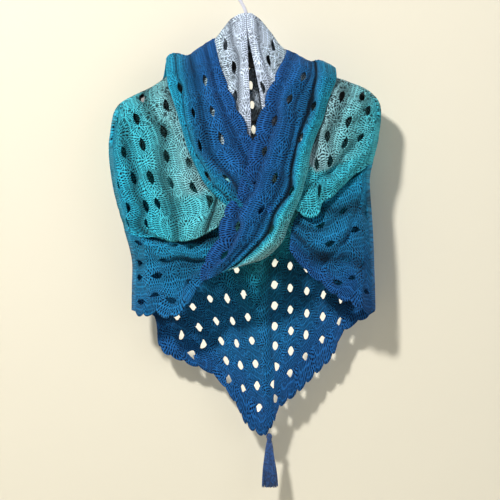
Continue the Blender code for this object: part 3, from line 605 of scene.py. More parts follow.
def band_surface(name, chest, tip, low_base, roll_rise, roll_start, a_cells, b_cells):
    """A band from its crossing on the chest, over the shoulder, to the point that hangs behind."""
    settle = len(chest) - 1
    settle_stations = 3.5
    # The neck edge lies closer to the cape where it crosses the ridge.
    neck_share, neck_rows, neck_stations = 0.55, 0.8, 1.2

    def roll_height(a, b):
        """How far the outer roll stands up, most where the band crosses the shoulder."""
        near_ridge = np.exp(-((b - settle - RIDGE_AFTER) / ROLL_STATIONS) ** 2)
        return roll_rise * smoothstep((a - roll_start) / ROLL_ROWS) * near_ridge

    stations = [list(row) for row in chest]
    for number, row in enumerate(tip):
        raised = RIDGE_LIFT + roll_height(np.arange(5.0), settle + 1.0 + number)
        tops = ridge(np.array([float(p[0]) for p in row]), raised)
        stations.append([(x, 2 * top - y, lift) for (x, y, lift), top in zip(row, tops)])
    rows = [list(row) for row in zip(*stations)]
    read, cells = fitted(name, guide(rows), a_cells, b_cells)

    def surface(a, b):
        p = read(a, b)
        x, y = p[..., 0], p[..., 1]
        base = RIDGE_LIFT + (low_base - RIDGE_LIFT) * smoothstep((settle - b) / settle_stations)
        near_neck = np.clip(1 - a / neck_rows, 0, 1)
        near_neck *= np.exp(-((b - settle - RIDGE_AFTER) / neck_stations) ** 2)
        base = base - RIDGE_LIFT * neck_share * near_neck + roll_height(a, b)
        top = ridge(x, base)
        behind = y < top
        y = np.where(behind, 2 * top - y, y)
        folds = np.where(behind, fold_height("back", x, y), fold_height(name, x, y))
        lift = p[..., 2] / 1000 + folds + pleats(name, a, b)
        return place(x, y, lift, behind=behind, base=base)
    return surface, cells


def back_surface(a_cells, b_cells):
    """The back, as a left and a right half that meet on the spine; low rows bend towards the hem."""
    last = len(HEM_LEFT) - 1
    bend_from, bend_rows = 7, 3
    halves = []
    for ends, hem in ((1, HEM_LEFT), (2, HEM_RIGHT)):
        hem = [np.array(p, float) for p in hem]
        hem[-1][0] = side_x(*hem[-1])
        rows = []
        for r, row in enumerate(BACK_ROWS):
            start = np.array(row[0], float)
            stop = np.array((side_x(*row[ends]), row[ends][1]), float)
            share = max(0.0, (r - bend_from) / bend_rows) ** 2
            line = [start + (stop - start) * k / last for k in range(last + 1)]
            straight = [hem[0] + (hem[last] - hem[0]) * k / last for k in range(last + 1)]
            rows.append([tuple(p + (h - s) * share) for p, h, s in zip(line, hem, straight)])
        rows.append([tuple(p) for p in hem])
        halves.append(guide(rows))

    def whole(a, b):
        return np.where((b < 0)[..., None], halves[0](a, np.abs(b)), halves[1](a, np.abs(b)))
    read, cells = fitted("back", whole, a_cells, b_cells)

    def surface(a, b):
        p = read(a, b)
        x, y = p[..., 0], p[..., 1]
        return place(x, y, fold_height("back", x, y), behind=True, inner=np.abs(b) < last)
    return surface, cells


def cell_steps(count, crowd):
    """Steps over a cell, crowded towards its middle."""
    u = np.linspace(-1, 1, count + 1)
    return 0.5 + 0.5 * np.sign(u) * np.abs(u) ** crowd


# The most that an eyelet takes of its cell, along and across the row.
MOST_LONG = 0.8
MOST_WIDE = 0.55
MOST_WIDE_BACK = 0.75
# How far an eyelet's edge may lie from its cell's middle, and how far past its ends the lean reaches.
MOST_LEAN = 0.45
LEAN_REACH = 1.6


def eyelet_shape(name, surface, a0, a1, b0, b1):
    """An eyelet's share of its cell along and across the row, and how far it leans over the row."""
    a, b = (a0 + a1) / 2, (b0 + b1) / 2
    ends = surface(np.array([a, a, a0, a1]), np.array([b0, b1, b, b]))
    along, across = (ends[1] - ends[0]) * 1000, (ends[3] - ends[2]) * 1000
    long, wide = EYELET_SIZE[name]
    if name != "back":
        long_share, wide_share = long / np.linalg.norm(along), wide / np.linalg.norm(across)
        return min(MOST_LONG, long_share), min(MOST_WIDE, wide_share), 0.0
    lean = -along[2] / across[2]
    long_share, wide_share = long / abs(along[0] + lean * across[0]), wide / abs(across[2])
    return min(MOST_LONG, long_share), min(MOST_WIDE_BACK, wide_share), lean


def drawn_open(lens, s, t, upper, point):
    """Heights t over a row of cells, moved aside by the lenses in it: half length, half width, lean."""
    reach, half_width, slant = lens.T
    off = (s - 0.5) / np.maximum(reach, 1e-6)
    gap = half_width * np.clip(1 - off ** 2, 0, 1) ** point
    lean = slant * (s - 0.5) * np.exp(-(off / LEAN_REACH) ** 4)
    lean = np.clip(lean, gap - MOST_LEAN, MOST_LEAN - gap)
    if upper:
        return 1 - (1 - t) * (0.5 - gap - lean) / 0.5
    return t * (0.5 - gap + lean) / 0.5


SCALLOP_ROUND = 0.7
SCALLOP_MIDDLE = 0.35


def scallop(a_grid, b_line, s_local, strip, row, depth, flat, count):
    """Waves an edge of the net. The wave fades over a strip of lines, and is flat at one station."""
    wave = np.abs(np.sin(np.pi * count * s_local)) ** SCALLOP_ROUND - SCALLOP_MIDDLE
    wave = wave * (1 - np.exp(-(b_line - flat) ** 2))
    for k in range(strip):
        fade = (1 - k / strip) ** 2
        if row == 0:
            a_grid[k] -= depth * wave * fade
        else:
            a_grid[-1 - k] += depth * wave * fade


def normals(surface, points, a, b, a_cells, b_cells):
    """Directions square to a surface, turned away from the hanger."""
    step = 0.02
    past_first, past_last = -0.5, 0.3
    above = surface(np.minimum(a + step, a_cells[-1] + past_last), b)
    below = surface(np.maximum(a - step, past_first), b)
    ahead = surface(a, np.minimum(b + step, b_cells[-1]))
    behind = surface(a, np.maximum(b - step, b_cells[0]))
    normal = np.cross(above - below, ahead - behind)
    normal /= np.maximum(np.linalg.norm(normal, axis=1, keepdims=True), 1e-12)
    sideways = 0.3
    outward = normal[:, 0] * points[:, 0] * sideways + normal[:, 1] * np.where(points[:, 1] < 0, -1, 1)
    return -normal if outward.sum() < 0 else normal


# Relief in metres: round the eyelets, along the seams of the fans, over each fan. The rest are shares
# of a cell.
RIM_RISE = 0.0009
SEAM_DEPTH = 0.0008
FAN_SWELL = 0.0004
RIM_WIDTH = 0.07
RIM_END = 0.9
RIM_FADE = 6
LEAST_REACH = 0.12


def relief(lens, s, t, point):
    """The cloth's own thick and thin: raised rims, sunk seams and a gentle swell."""
    reach, half_width, _ = lens.T
    along = (s - 0.5) / np.maximum(reach, LEAST_REACH)
    off = np.abs(t - 0.5) - half_width * np.clip(1 - along ** 2, 0, 1) ** point
    rim = np.exp(-(off / RIM_WIDTH) ** 2 - np.maximum(np.abs(along) - RIM_END, 0) * RIM_FADE)
    seam = np.maximum(0, np.cos(2 * np.pi * t)) ** 3
    return RIM_RISE * rim * (reach > 0) - SEAM_DEPTH * seam + FAN_SWELL * np.sin(2 * np.pi * s + 1.0)


def shaded(name, a, b, points):
    """How much painted shade each point takes, 0 to 1, from its pleats and hollows."""
    shade = creased(name, a, b)
    x, y = points[:, 0] / UNIT + CENTRE_X, PEAK_Y - (points[:, 2] - PEAK_Z) / UNIT
    for (x0, y0), (half_x, half_y), depth in HOLLOWS[name]:
        spot = depth * np.exp(-((x - x0) / half_x) ** 2 - ((y - y0) / half_y) ** 2)
        shade = 1 - (1 - shade) * (1 - np.clip(spot, 0, 1))
    return shade


def fan_sizes(grid, nt, ns):
    """Length and width in mm of every cell of the net, through its middle."""
    na, nb = (grid.shape[0] - 1) // nt, (grid.shape[1] - 1) // ns
    widest = 80
    middle_rows = grid[nt // 2::nt]
    long = np.linalg.norm(np.diff(middle_rows, axis=1), axis=2).reshape(na, nb, ns).sum(2) * 1000
    middle_cols = grid[:, ns // 2::ns]
    wide = np.linalg.norm(np.diff(middle_cols, axis=0), axis=2).reshape(na, nt, nb).sum(1) * 1000
    return long, np.minimum(wide, widest)


def new_mesh(name, points, quads):
    mesh = bpy.data.meshes.new(name)
    mesh.vertices.add(len(points))
    mesh.vertices.foreach_set("co", points.ravel())
    mesh.loops.add(quads.size)
    mesh.loops.foreach_set("vertex_index", quads.ravel())
    mesh.polygons.add(len(quads))
    mesh.polygons.foreach_set("loop_start", np.arange(len(quads)) * 4)
    mesh.polygons.foreach_set("loop_total", np.full(len(quads), 4))
    mesh.polygons.foreach_set("use_smooth", np.ones(len(quads), bool))
    return mesh


def new_layer(mesh, name, values):
    """Values for the shader: vectors at the corners, or single numbers at the points."""
    if values.ndim == 2:
        layer = mesh.attributes.new(name, "FLOAT_VECTOR", "CORNER")
        layer.data.foreach_set("vector", values.astype(np.float32).ravel())
    else:
        layer = mesh.attributes.new(name, "FLOAT", "POINT")
        layer.data.foreach_set("value", values.astype(np.float32))


def lace(name, made, a_cells, b_cells, nt, ns, tone, scallops=(), crowd=1.0, point=0.9):
    """Crochet over a net of fans. Each holed cell is slit along its middle and drawn open to a lens."""
    surface, cells = made
    na, nb = len(a_cells) - 1, len(b_cells) - 1
    half = nt // 2
    rows_n, cols_n = na * nt + 1, nb * ns + 1
    lens = np.zeros((na, nb, 3))
    for i, j in cells:
        long, wide, lean = eyelet_shape(name, surface, *a_cells[i:i + 2], *b_cells[j:j + 2])
        lens[i, j] = long / 2, wide / 2, lean

    # The net's columns: the cell each is in, its place in that cell and its station.
    a_ends, b_ends = np.array(a_cells, float), np.array(b_cells, float)
    cell_b = np.minimum(np.arange(cols_n) // ns, nb - 1)
    s_local = np.append(np.tile(cell_steps(ns, crowd)[:-1], nb), 1.0)
    b_line = b_ends[cell_b] + (b_ends[cell_b + 1] - b_ends[cell_b]) * s_local
    cell_a = np.minimum(np.arange(rows_n) // nt, na - 1)
    t_grid = np.zeros((rows_n, cols_n))
    for line, i in enumerate(cell_a):
        k = line - i * nt
        t_grid[line] = drawn_open(lens[i, cell_b], s_local, k / nt, k > half, point)
    a_grid = a_ends[cell_a][:, None] + (a_ends[cell_a + 1] - a_ends[cell_a])[:, None] * t_grid
    for row, depth, flat, count in scallops:
        scallop(a_grid, b_line, s_local, half, row, depth, flat, count)

    # The upper rim of each lens has points of its own.
    rim, rim_index = [], {}
    for i in range(na):
        upper = drawn_open(lens[i, cell_b], s_local, 0.5, True, point)
        for c in np.nonzero(np.abs(s_local - 0.5) < lens[i, cell_b, 0] - 1e-6)[0]:
            rim_index[(i, c)] = rows_n * cols_n + len(rim)
            rim.append((i, c, upper[c]))
    rim_i, rim_c = (np.array([point_of[k] for point_of in rim], int) for k in (0, 1))
    rim_t = np.array([point_of[2] for point_of in rim])
    rim_a = a_ends[rim_i] + (a_ends[rim_i + 1] - a_ends[rim_i]) * rim_t
    a_all = np.concatenate([a_grid.ravel(), rim_a])
    b_all = np.concatenate([np.tile(b_line, rows_n), b_line[rim_c]])
    t_all = np.concatenate([t_grid.ravel(), rim_t])
    s_all = np.concatenate([np.tile(s_local, rows_n), s_local[rim_c]])
    i_all = np.concatenate([np.repeat(cell_a, cols_n), rim_i])
    j_all = np.concatenate([np.tile(cell_b, rows_n), cell_b[rim_c]])

    below_first, settle = -0.6, 6
    points = surface(np.clip(a_all, below_first, None), b_all)
    normal = normals(surface, points, a_all, b_all, a_cells, b_cells)
    puff = relief(lens[i_all, j_all], s_all, t_all, point)
    puff *= np.clip((b_all - b_cells[0]) * settle, 0, 1)
    points = points + normal * puff[:, None]

    row_of, col_of = (axis.ravel() for axis in np.indices((rows_n - 1, cols_n - 1)))
    first = row_of * cols_n + col_of
    quads = np.stack([first, first + 1, first + cols_n + 1, first + cols_n], -1)
    for f in np.nonzero(row_of % nt == half)[0]:
        i, c = row_of[f] // nt, col_of[f]
        quads[f, 0] = rim_index.get((i, c), quads[f, 0])
        quads[f, 1] = rim_index.get((i, c + 1), quads[f, 1])
    corner = points[quads]
    facing = np.cross(corner[:, 1] - corner[:, 0], corner[:, 3] - corner[:, 0])
    if (normal[quads[:, 0]] * facing).sum() < 0:
        quads = quads[:, ::-1]

    # Each corner knows where it lies in its own fan, in mm from the lens's middle.
    face_i, face_j = np.repeat(row_of // nt, 4), np.repeat(col_of // ns, 4)
    spot = quads.ravel()
    s_corner, t_corner = s_all[spot], t_all[spot]
    s_corner[(s_corner < 1e-9) & (np.repeat(col_of % ns, 4) == ns - 1)] = 1.0
    t_corner[(t_corner < 1e-9) & (np.repeat(row_of % nt, 4) == nt - 1)] = 1.0
    long, wide = fan_sizes(points[:rows_n * cols_n].reshape(rows_n, cols_n, 3), nt, ns)
    along_mm, across_mm = long[face_i, face_j], wide[face_i, face_j]
    shortest = 0.2
    reach_mm = np.maximum(lens[face_i, face_j, 0], shortest) * along_mm
    stitch = np.stack([(s_corner - 0.5) * along_mm, (t_corner - 0.5) * across_mm, reach_mm], -1)

    mesh = new_mesh(name, points, quads)
    new_layer(mesh, "stitch", stitch)
    # The painted_shade layer darkens the yarn in the pleats and hollows: painted shade.
    new_layer(mesh, "painted_shade", shaded(name, a_all, b_all, points))
    new_layer(mesh, "tone", tone(a_all, b_all))
    mesh.update()
    mesh.validate()
    mesh.materials.append(crochet)
    thing = bpy.data.objects.new(name + "_lace", mesh)
    bpy.context.scene.collection.objects.link(thing)
    shell = thing.modifiers.new("shell", "SOLIDIFY")
    shell.thickness = THICKNESS
    shell.offset = 0
    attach(thing, "root")
    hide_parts(name)
    return thing


def lines(*stops):
    """Lines of a net: start, end and number of cells of each stretch."""
    values = [stops[0][0]]
    for start, end, count in stops:
        values += [start + (end - start) * (k + 1) / count for k in range(count)]
    return values


# Colour of the yarn from the top edge to the scalloped hem: share of the way, linear red, green, blue.
YARN = [
    (0.00, (0.47, 0.545, 0.69)),
    (0.14, (0.375, 0.46, 0.56)),
    (0.24, (0.20, 0.36, 0.40)),
    (0.33, (0.128, 0.400, 0.445)),
    (0.43, (0.040, 0.400, 0.490)),
    (0.54, (0.012, 0.280, 0.430)),
    (0.65, (0.010, 0.162, 0.315)),
    (0.76, (0.009, 0.116, 0.290)),
    (0.87, (0.008, 0.080, 0.245)),
    (1.00, (0.010, 0.062, 0.215)),
]


class Value:
    """A number or colour in a shader graph, with arithmetic."""

    def __init__(self, nodes, socket):
        self.nodes = nodes
        self.socket = socket

    def __add__(self, other):
        return self.nodes.math("ADD", self, other)

    def __sub__(self, other):
        return self.nodes.math("SUBTRACT", self, other)

    def __rsub__(self, other):
        return self.nodes.math("SUBTRACT", other, self)

    def __mul__(self, other):
        return self.nodes.math("MULTIPLY", self, other)

    def __truediv__(self, other):
        return self.nodes.math("DIVIDE", self, other)

    __radd__ = __add__
    __rmul__ = __mul__


class Nodes:
    """A new material, and short calls for building its shader graph."""

    def __init__(self, name):
        self.material = bpy.data.materials.new(name)
        self.material.use_nodes = True
        self.tree = self.material.node_tree
        self.tree.nodes.clear()

    def put(self, socket, value):
        if isinstance(value, Value):
            self.tree.links.new(value.socket, socket)
        else:
            socket.default_value = value

    def new(self, kind, output, inputs=(), **settings):
        """One output of a new node."""
        node = self.tree.nodes.new(kind)
        for key, value in settings.items():
            setattr(node, key, value)
        for key, value in dict(inputs).items():
            self.put(node.inputs[key], value)
        return Value(self, node.outputs[output])

    def math(self, operation, *values):
        return self.new("ShaderNodeMath", 0, enumerate(values), operation=operation)

    def mix(self, factor, first, second, blend="MIX"):
        inputs = {0: factor, 6: first, 7: second}
        return self.new("ShaderNodeMix", 2, inputs, data_type="RGBA", blend_type=blend)

    def where(self):
        return self.new("ShaderNodeTexCoord", "Object")

    def noise(self, scale, detail):
        inputs = {"Scale": scale, "Detail": detail, "Vector": self.where()}
        return self.new("ShaderNodeTexNoise", "Fac", inputs)

    def smooth(self, value, low, high):
        inputs = {"Value": value, "From Min": low, "From Max": high}
        return self.new("ShaderNodeMapRange", "Result", inputs, interpolation_type="SMOOTHSTEP")

    def attribute(self, name, output="Fac"):
        return self.new("ShaderNodeAttribute", output, attribute_name=name)

    def split(self, vector):
        """A vector's three parts."""
        node = self.new("ShaderNodeSeparateXYZ", 0, {0: vector}).socket.node
        return [Value(self, output) for output in node.outputs]

    def ramp(self, value, stops):
        colour = self.new("ShaderNodeValToRGB", 0, {0: value})
        ramp = colour.socket.node.color_ramp
        ramp.interpolation = "B_SPLINE"
        while len(ramp.elements) < len(stops):
            ramp.elements.new(0.5)
        for stop, (at, shade) in zip(ramp.elements, stops):
            stop.position = at
            stop.color = (*shade, 1)
        return colour

    def bump(self, strength, distance, height):
        inputs = {"Strength": strength, "Distance": distance, "Height": height}
        return self.new("ShaderNodeBump", 0, inputs)

    def surface(self, inputs):
        """Ends the graph in one shader with these inputs, and gives the material."""
        shader = self.new("ShaderNodeBsdfPrincipled", 0, inputs)
        out = self.tree.nodes.new("ShaderNodeOutputMaterial")
        self.put(out.inputs["Surface"], shader)
        return self.material


# Stitches in mm: from post to post, from tier to tier, and the bare strip along an eyelet's middle.
POST_PITCH = 4.1
TIER = 5.9
LENS_HALF = 2.6
WOBBLE = 2.2
# The shoulders are stretched open: none of it below the first height, all of it above the second.
OPEN_HEIGHTS = (-0.31, -0.235)


def crochet_material():
    n = Nodes("crochet_cotton")
    along, across, reach = n.split(n.attribute("stitch", "Vector"))
    x = along + (n.noise(210, 1) - 0.5) * WOBBLE
    y = across + (n.noise(150, 1) - 0.5) * WOBBLE
    # Tiers of posts stand beside the lens and turn round its ends.
    reach = n.math("MAXIMUM", reach - 1.5, 3.0)
    held = n.math("MAXIMUM", n.math("MINIMUM", x, reach), reach * -1.0)
    over = x - held
    depth = n.math("ABSOLUTE", y)
    radius = n.math("SQRT", over * over + depth * depth)
    turn = n.math("ARCTAN2", over, depth)
    tier = (radius - LENS_HALF) / TIER
    tier_number = n.math("MAXIMUM", n.math("FLOOR", tier), 0.0)
    run = held + turn * ((tier_number + 0.9) * TIER) + tier_number * (POST_PITCH * 0.5)
    posts = n.math("ABSOLUTE", n.math("SINE", run * (math.pi / POST_PITCH)))
    tiers = n.math("ABSOLUTE", n.math("SINE", tier * math.pi))
    post_gap = 1 - n.smooth(posts, 0.44, 0.84)
    hole = post_gap * n.smooth(tiers, 0.30, 0.72) * n.smooth(n.noise(90, 2), 0.10, 0.42)
    # Open work between the fans, most of it on the shoulders.
    tone = n.attribute("tone")
    high_up = n.smooth(n.split(n.where())[2], *OPEN_HEIGHTS)
    worked_open = 1 - n.smooth(tone, 0.46, 0.60)
    net = {"Scale": 125, "Vector": n.where()}
    net = n.new("ShaderNodeTexVoronoi", "Distance", net, feature="DISTANCE_TO_EDGE")
    gap = n.smooth(net, 0.15, 0.27) * n.smooth(n.noise(38, 2), 0.38, 0.50)
    hole = n.math("MAXIMUM", hole, gap * (0.30 + worked_open * high_up * 0.58))
    # The palest yarn and the turn of the sides are worked closer.
    sideways = n.split(n.new("ShaderNodeNewGeometry", "Normal"))[0]
    turned = n.smooth(n.math("ABSOLUTE", sideways), 0.70, 0.95)
    hole = hole * ((0.64 + n.smooth(tone, 0.06, 0.20) * 0.36) * (1 - turned))

    ridge_line = 1 - n.smooth(tiers, 0.0, 0.45)
    twist = n.math("ABSOLUTE", n.math("SINE", radius * 2.1 + run * 1.3))
    height = n.smooth(posts, 0.05, 0.95) * 0.62 + ridge_line * 0.30 + twist * 0.14
    height = height + n.noise(700, 2) * 0.35 - hole * 0.8

    yarn_colour = n.ramp(tone + (n.noise(34, 2) - 0.5) * 0.05, YARN)
    fleck = n.smooth(n.noise(900, 2), 0.35, 0.7) * 0.22
    base = n.mix(fleck, yarn_colour, (0.75, 0.85, 0.95, 1), "SOFT_LIGHT")
    # The gaps between posts and the open holes are the crochet's own openings, painted dark as the shade
    # seen in and through them.
    between_posts = 1 - n.smooth(posts, 0.1, 0.85)
    # The painted_shade attribute darkens the pleats and hollows: painted shade.
    shade = (1 - n.attribute("painted_shade") * 0.93) * (1.36 - between_posts * 0.66) * (1 - hole * 0.97)
    shade = shade * (1 + n.math("COSINE", tier * math.pi) * 0.15)
    # Random patches of tone, and the raised tier ridges painted a touch lighter as a painted highlight.
    shade = shade * (0.72 + n.noise(26, 2) * 0.56) * (0.92 + ridge_line * 0.12)
    grey = n.new("ShaderNodeCombineColor", 0, {0: shade, 1: shade, 2: shade})
    return n.surface({
        "Base Color": n.mix(1.0, base, grey, "MULTIPLY"),
        "Roughness": 0.82,
        "Specular IOR Level": 0.06,
        "Sheen Weight": 0.035,
        "Sheen Roughness": 0.5,
        "Normal": n.bump(0.9, 0.0011, height),
    })


crochet = crochet_material()


def ramp_of(*stops):
    """A tone that follows the row alone."""
    keys, values = [s[0] for s in stops], [s[1] for s in stops]
    return lambda a, b: np.interp(a, keys, values)


def front_tone(tones, edge_share, start, span):
    """The pale top edge shows beside the neck alone; from the start station down the panel is sage."""
    sage = 0.46

    def tone(a, b):
        low = smoothstep((b - start) / span) * np.interp(a, (2, 6), (edge_share, 1))
        return np.maximum(np.interp(a, range(len(tones)), tones), sage * low)
    return tone


# Tones run from 0 at the shawl's top edge to 1 at its scalloped hem.
LEFT_TONES = (0.0, 0.06, 0.16, 0.26, 0.33, 0.41, 0.47, 0.53, 0.58)
# The right front runs paler than the left, partly its own colour and partly painted light that lifts the
# side turned away from the key light.
RIGHT_TONES = (0.0, 0.06, 0.17, 0.22, 0.26, 0.31, 0.37, 0.42, 0.46)
front_rows = lines((0, 8, 8))
front_cells = lines((0, 1, 1), (1, 8, 6), (8, 9.4, 1))
for name, rows, roll, tone in (
        ("front_left", FRONT_LEFT, 0.007, front_tone(LEFT_TONES, 0.75, 3.6, 2.6)),
        ("front_right", FRONT_RIGHT, 0.006, front_tone(RIGHT_TONES, 1.0, 4.7, 1.5))):
    made = front_surface(name, rows, roll, front_rows, front_cells)
    lace(name, made, front_rows, front_cells, 16, 26, tone)
for name, rows, tones in (
        ("arm_left", ARM_LEFT, (0.63, 0.65, 0.68, 0.71, 0.78)),
        ("arm_right", ARM_RIGHT, (0.60, 0.66, 0.70, 0.75, 0.82, 0.95))):
    last = len(rows) - 1
    arm_rows, arm_cells = lines((0, last, last)), lines((0, 6, 6))
    made = arm_surface(name, rows, arm_rows, arm_cells)
    lace(name, made, arm_rows, arm_cells, 18, 26, ramp_of(*enumerate(tones)),
                       scallops=[(last, 0.17, -9, 1)])


def over_tone(a, b):
    """The top band pales down its strip, and turns to sage where its end is folded under."""
    main = np.interp(a, range(5), (0.98, 0.88, 0.78, 0.58, 0.48))
    # Down the strip the tone is painted lighter towards the chest, where the strip lies in shade, and
    # darker towards the ridge: painted light over the yarn's own colour.
    main = main + np.interp(a, (2, 3), (0, 1)) * np.interp(b, (5, 9), (-0.10, 0.08))
    return main - np.clip(1 - b / 3.5, 0, 1) * np.interp(a, [0, 2, 3, 4], [0.0, 0.06, 0.22, 0.2])


band_rows = lines((0, 4, 4))
over_cells, under_cells = lines((0, 14, 14)), lines((0, 11, 11))
over = band_surface("band_over", BAND_OVER, TIP_RIGHT, OVER_LIFT, ROLL_RISE_OVER, ROLL_START_OVER,
                    band_rows, over_cells)
lace("band_over", over, band_rows, over_cells, 14, 30, over_tone,
                          scallops=[(0, 0.2, 9.4, 1)])
under = band_surface("band_under", BAND_UNDER, TIP_LEFT, UNDER_LIFT, ROLL_RISE_UNDER, ROLL_START_UNDER,
                     band_rows, under_cells)
under_tone = ramp_of(*enumerate((0.96, 0.91, 0.82, 0.65, 0.57)))
lace("band_under", under, band_rows, under_cells, 14, 30, under_tone,
                           scallops=[(0, 0.2, 6.4, 1)])
back_rows, back_cells = lines((0, 10, 20)), lines((-7, 7, 14))
back_tone = ramp_of((0, 0.0), (2, 0.08), (4, 0.2), (5, 0.3), (6, 0.44), (7, 0.64), (8, 0.75), (9, 0.80),
                    (10, 0.93))
lace("back", back_surface(back_rows, back_cells), back_rows, back_cells, 8, 18,
                     back_tone, scallops=[(20, 0.07, -99, 2)], crowd=1.8, point=0.5)


def plain_material(name, colour, roughness, coat=0.0):
    n = Nodes(name)
    return n.surface({
        "Base Color": (*colour, 1),
        "Coat Weight": coat,
        "Roughness": n.noise(120, 2) * 0.1 + (roughness - 0.05),
        "Normal": n.bump(0.08, 0.0004, n.noise(500, 2)),
    })


# The tassel, in metres: its head below the hem's point, and the yarn that makes it up.
TASSEL_DEPTH = 0.016
HEAD_LENGTH = 0.0115
HEAD_RADIUS = 0.0048
HEAD_YARNS = 22
WRAPS = 5
WRAP_TOP = 0.0095
WRAP_PITCH = 0.0013
WRAP_OUTLINE = (
    (0.0007, 0.0036), (0.00035, 0.0043), (0, 0.0045), (-0.00035, 0.0043), (-0.0007, 0.0036),
)
CORE = ((0.0005, 0.0015), (0.004, 0.0036), (0.017, 0.0032))
STRANDS = 130
STRAND_TOP = 0.014
STRAND_STEPS = 8
STRAND_RADIUS = 0.0008
NECK_SPREAD = 0.0038
END_SPREAD = 0.0140
GOLDEN_ANGLE = 2.39996


def tassel():
    """A wound head, a collar of wraps and many strands that flare to a blunt end."""
    x0, y0 = TASSEL_TOP
    top_x = (x0 + 1.5 - CENTRE_X) * UNIT
    top_z = PEAK_Z - (y0 - 4 - PEAK_Y) * UNIT
    end_z = PEAK_Z - (TASSEL_END_Y - PEAK_Y) * UNIT
    verts, faces = [], []

    def tube(path, radii, sides):
        start = len(verts)
        for (x, y, z), radius in zip(path, radii):
            for k in range(sides):
                angle = k * math.tau / sides
                verts.append((x + radius * math.cos(angle), y + radius * math.sin(angle), z))
        for r in range(len(path) - 1):
            for k in range(sides):
                a, b = start + r * sides + k, start + r * sides + (k + 1) % sides
                faces.append((a, b, b + sides, a + sides))
        faces.append(tuple(range(start, start + sides))[::-1])
        last = start + (len(path) - 1) * sides
        faces.append(tuple(range(last, last + sides)))

    def upright(outline, sides):
        """A solid round the tassel's own axis: depth below the top, radius."""
        path = [(top_x, TASSEL_DEPTH, top_z - below) for below, _ in outline]
        tube(path, [radius for _, radius in outline], sides)

    for k in range(STRANDS):
        share = math.sqrt((k + 0.5) / STRANDS)
        angle = k * GOLDEN_ANGLE
        wave = 0.0012 * math.sin(k * 1.9)
        drop = end_z + 0.0045 * abs(math.sin(k * 1.31)) - top_z + STRAND_TOP
        path = []
        for step in range(STRAND_STEPS + 1):
            t = step / STRAND_STEPS
            spread = (NECK_SPREAD * (1 - t) + END_SPREAD * t ** 0.75) * share
            swing = wave * math.sin(math.pi * 1.7 * t + k)
            path.append((top_x + math.cos(angle) * spread + swing * 0.8 + 0.001 * t,
                         TASSEL_DEPTH + math.sin(angle) * spread * 0.7 + swing * 0.4,
                         top_z - STRAND_TOP + drop * t))
        tube(path, [STRAND_RADIUS] * len(path), 5)
    for k in range(WRAPS):
        below = WRAP_TOP + k * WRAP_PITCH
        upright([(below - rise, radius) for rise, radius in WRAP_OUTLINE], 20)
    for k in range(HEAD_YARNS):
        angle = k * math.tau / HEAD_YARNS
        path = []
        for step in range(7):
            t = step / 6
            radius = 0.0012 + (HEAD_RADIUS - 0.0012) * math.sin(math.pi * min(1, t * 0.8 + 0.08))
            path.append((top_x + radius * math.cos(angle), TASSEL_DEPTH + radius * math.sin(angle),
                         top_z - HEAD_LENGTH * t))
        tube(path, [0.0006] * len(path), 6)
    upright(CORE, 16)
    mesh = bpy.data.meshes.new("tassel_yarn")
    mesh.from_pydata(verts, [], faces)
    mesh.shade_smooth()
    n = Nodes("tassel_cotton")
    tint = n.mix(n.smooth(n.noise(300, 3), 0.3, 0.7), (0.003, 0.018, 0.080, 1), (0.008, 0.080, 0.28, 1))
    mesh.materials.append(n.surface({"Base Color": tint, "Roughness": 0.72, "Sheen Weight": 0.2}))
    thing = bpy.data.objects.new("tassel_yarn", mesh)
    bpy.context.scene.collection.objects.link(thing)
    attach(thing, "root")
    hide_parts("tassel")
    return thing


yarn = tassel()
for name, material in (
        ("hanger", plain_material("hanger_plastic", (0.018, 0.018, 0.022), 0.42, 0.1)),
        ("hook", plain_material("hook_coating", (0.50, 0.51, 0.60), 0.30, 0.3))):
    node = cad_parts[name]
    node.data.materials.clear()
    node.data.materials.append(material)
# The wire is too thin to throw a shadow that shows on the bright wall.
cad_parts["hook"].visible_shadow = False

# Studio: a pale wall and floor well behind and below, soft light from the upper left, a long lens.
WALL_Y = 0.075
FLOOR_Z = -1.35
STAGE_SIZE = 9
stage_colour = plain_material("stage_paper", (0.622, 0.592, 0.498), 0.9)


def one_sided(material):
    """The near wall shows from the front alone, so that it doesn't hide the shawl from behind."""
    tree = material.node_tree
    out = next(node for node in tree.nodes if node.type == "OUTPUT_MATERIAL")
    shader = out.inputs["Surface"].links[0].from_socket
    side = tree.nodes.new("ShaderNodeNewGeometry").outputs["Backfacing"]
    clear = tree.nodes.new("ShaderNodeBsdfTransparent").outputs[0]
    mix = tree.nodes.new("ShaderNodeMixShader")
    for socket, source in zip(mix.inputs, (side, shader, clear)):
        tree.links.new(source, socket)
    tree.links.new(mix.outputs[0], out.inputs["Surface"])


one_sided(stage_colour)


def stage_plane(name, location, rotation):
    bpy.ops.mesh.primitive_plane_add(size=STAGE_SIZE, location=location, rotation=rotation)
    plane = bpy.context.object
    plane.name = name
    plane.data.materials.append(stage_colour)
    plane.visible_shadow = False


stage_plane("backdrop", (0, WALL_Y, 0.2), (math.pi / 2, 0, 0))
stage_plane("floor", (0, 0, FLOOR_Z), (0, 0, 0))


def area_light(name, location, target, size, power, colour):
    light = bpy.data.lights.new(name, "AREA")
    light.shape = "DISK"
    light.size = size
    light.energy = power
    light.color = colour
    thing = bpy.data.objects.new(name, light)
    bpy.context.scene.collection.objects.link(thing)
    thing.location = location
    direction = np.array(target) - np.array(location)
    thing.rotation_euler = (
        math.acos(-direction[2] / np.linalg.norm(direction)),
        0,
        math.atan2(direction[1], direction[0]) - math.pi / 2,
    )
    return thing


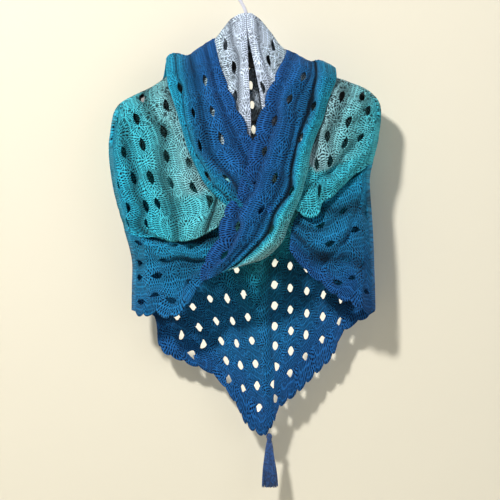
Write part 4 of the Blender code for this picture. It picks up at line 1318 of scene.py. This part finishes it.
area_light("key", (-1.15, -2.3, 1.25), (0.0, 0.0, -0.40), 0.30, 123, (1.0, 0.97, 0.92))
area_light("rear", (0.5, 2.6, 0.5), (0.0, 0.0, -0.45), 1.2, 60, (1.0, 0.98, 0.95))
# Panes behind the back light the wall that shows through its eyelets: left, top, right, bottom.
GLOW = 5.0
GLOW_Y = 0.067
GLOW_PANES = [
    (160, 258, 362, 310), (168, 310, 344, 328), (172, 328, 336, 344), (184, 344, 326, 358),
    (220, 358, 306, 380), (236, 380, 286, 398), (249, 398, 274, 420), (247, 60, 261, 130),
]
for number, (left, top, right, bottom) in enumerate(GLOW_PANES):
    wide, tall = (right - left) * UNIT, (bottom - top) * UNIT
    x, z = ((left + right) / 2 - CENTRE_X) * UNIT, PEAK_Z - ((top + bottom) / 2 - PEAK_Y) * UNIT
    pane = area_light("behind_%d" % number, (x, GLOW_Y, z), (x, 1.0, z), wide, GLOW * wide * tall,
                      (1.0, 0.96, 0.88))
    pane.data.shape = "RECTANGLE"
    pane.data.size_y = tall
area_light("fill", (1.8, -2.2, 0.1), (0.0, 0.0, -0.45), 2.2, 14, (0.92, 0.96, 1.0))
world = bpy.data.worlds.new("studio")
world.use_nodes = True
sky = world.node_tree.nodes["Background"]
sky.inputs["Color"].default_value = (0.92, 0.94, 1.0, 1)
sky.inputs["Strength"].default_value = 0.27
bpy.context.scene.world = world

# The picture is this tall, in metres, at the chest's depth.
FRAME_HEIGHT = 0.875
CHEST_Y = -0.035
CAMERA_AWAY = 3.6
SENSOR = 36
PICTURE_MIDDLE = 250
camera_data = bpy.data.cameras.new("camera")
camera_data.sensor_width = SENSOR
camera_data.lens = SENSOR * (CAMERA_AWAY + CHEST_Y) / FRAME_HEIGHT
camera = bpy.data.objects.new("camera", camera_data)
bpy.context.scene.collection.objects.link(camera)
camera.location = (
    (PICTURE_MIDDLE - CENTRE_X) * UNIT,
    -CAMERA_AWAY,
    PEAK_Z - (PICTURE_MIDDLE - PEAK_Y) * UNIT,
)
camera.rotation_euler = (math.pi / 2, 0, 0)
bpy.context.scene.camera = camera
bpy.context.scene.view_settings.view_transform = "Standard"
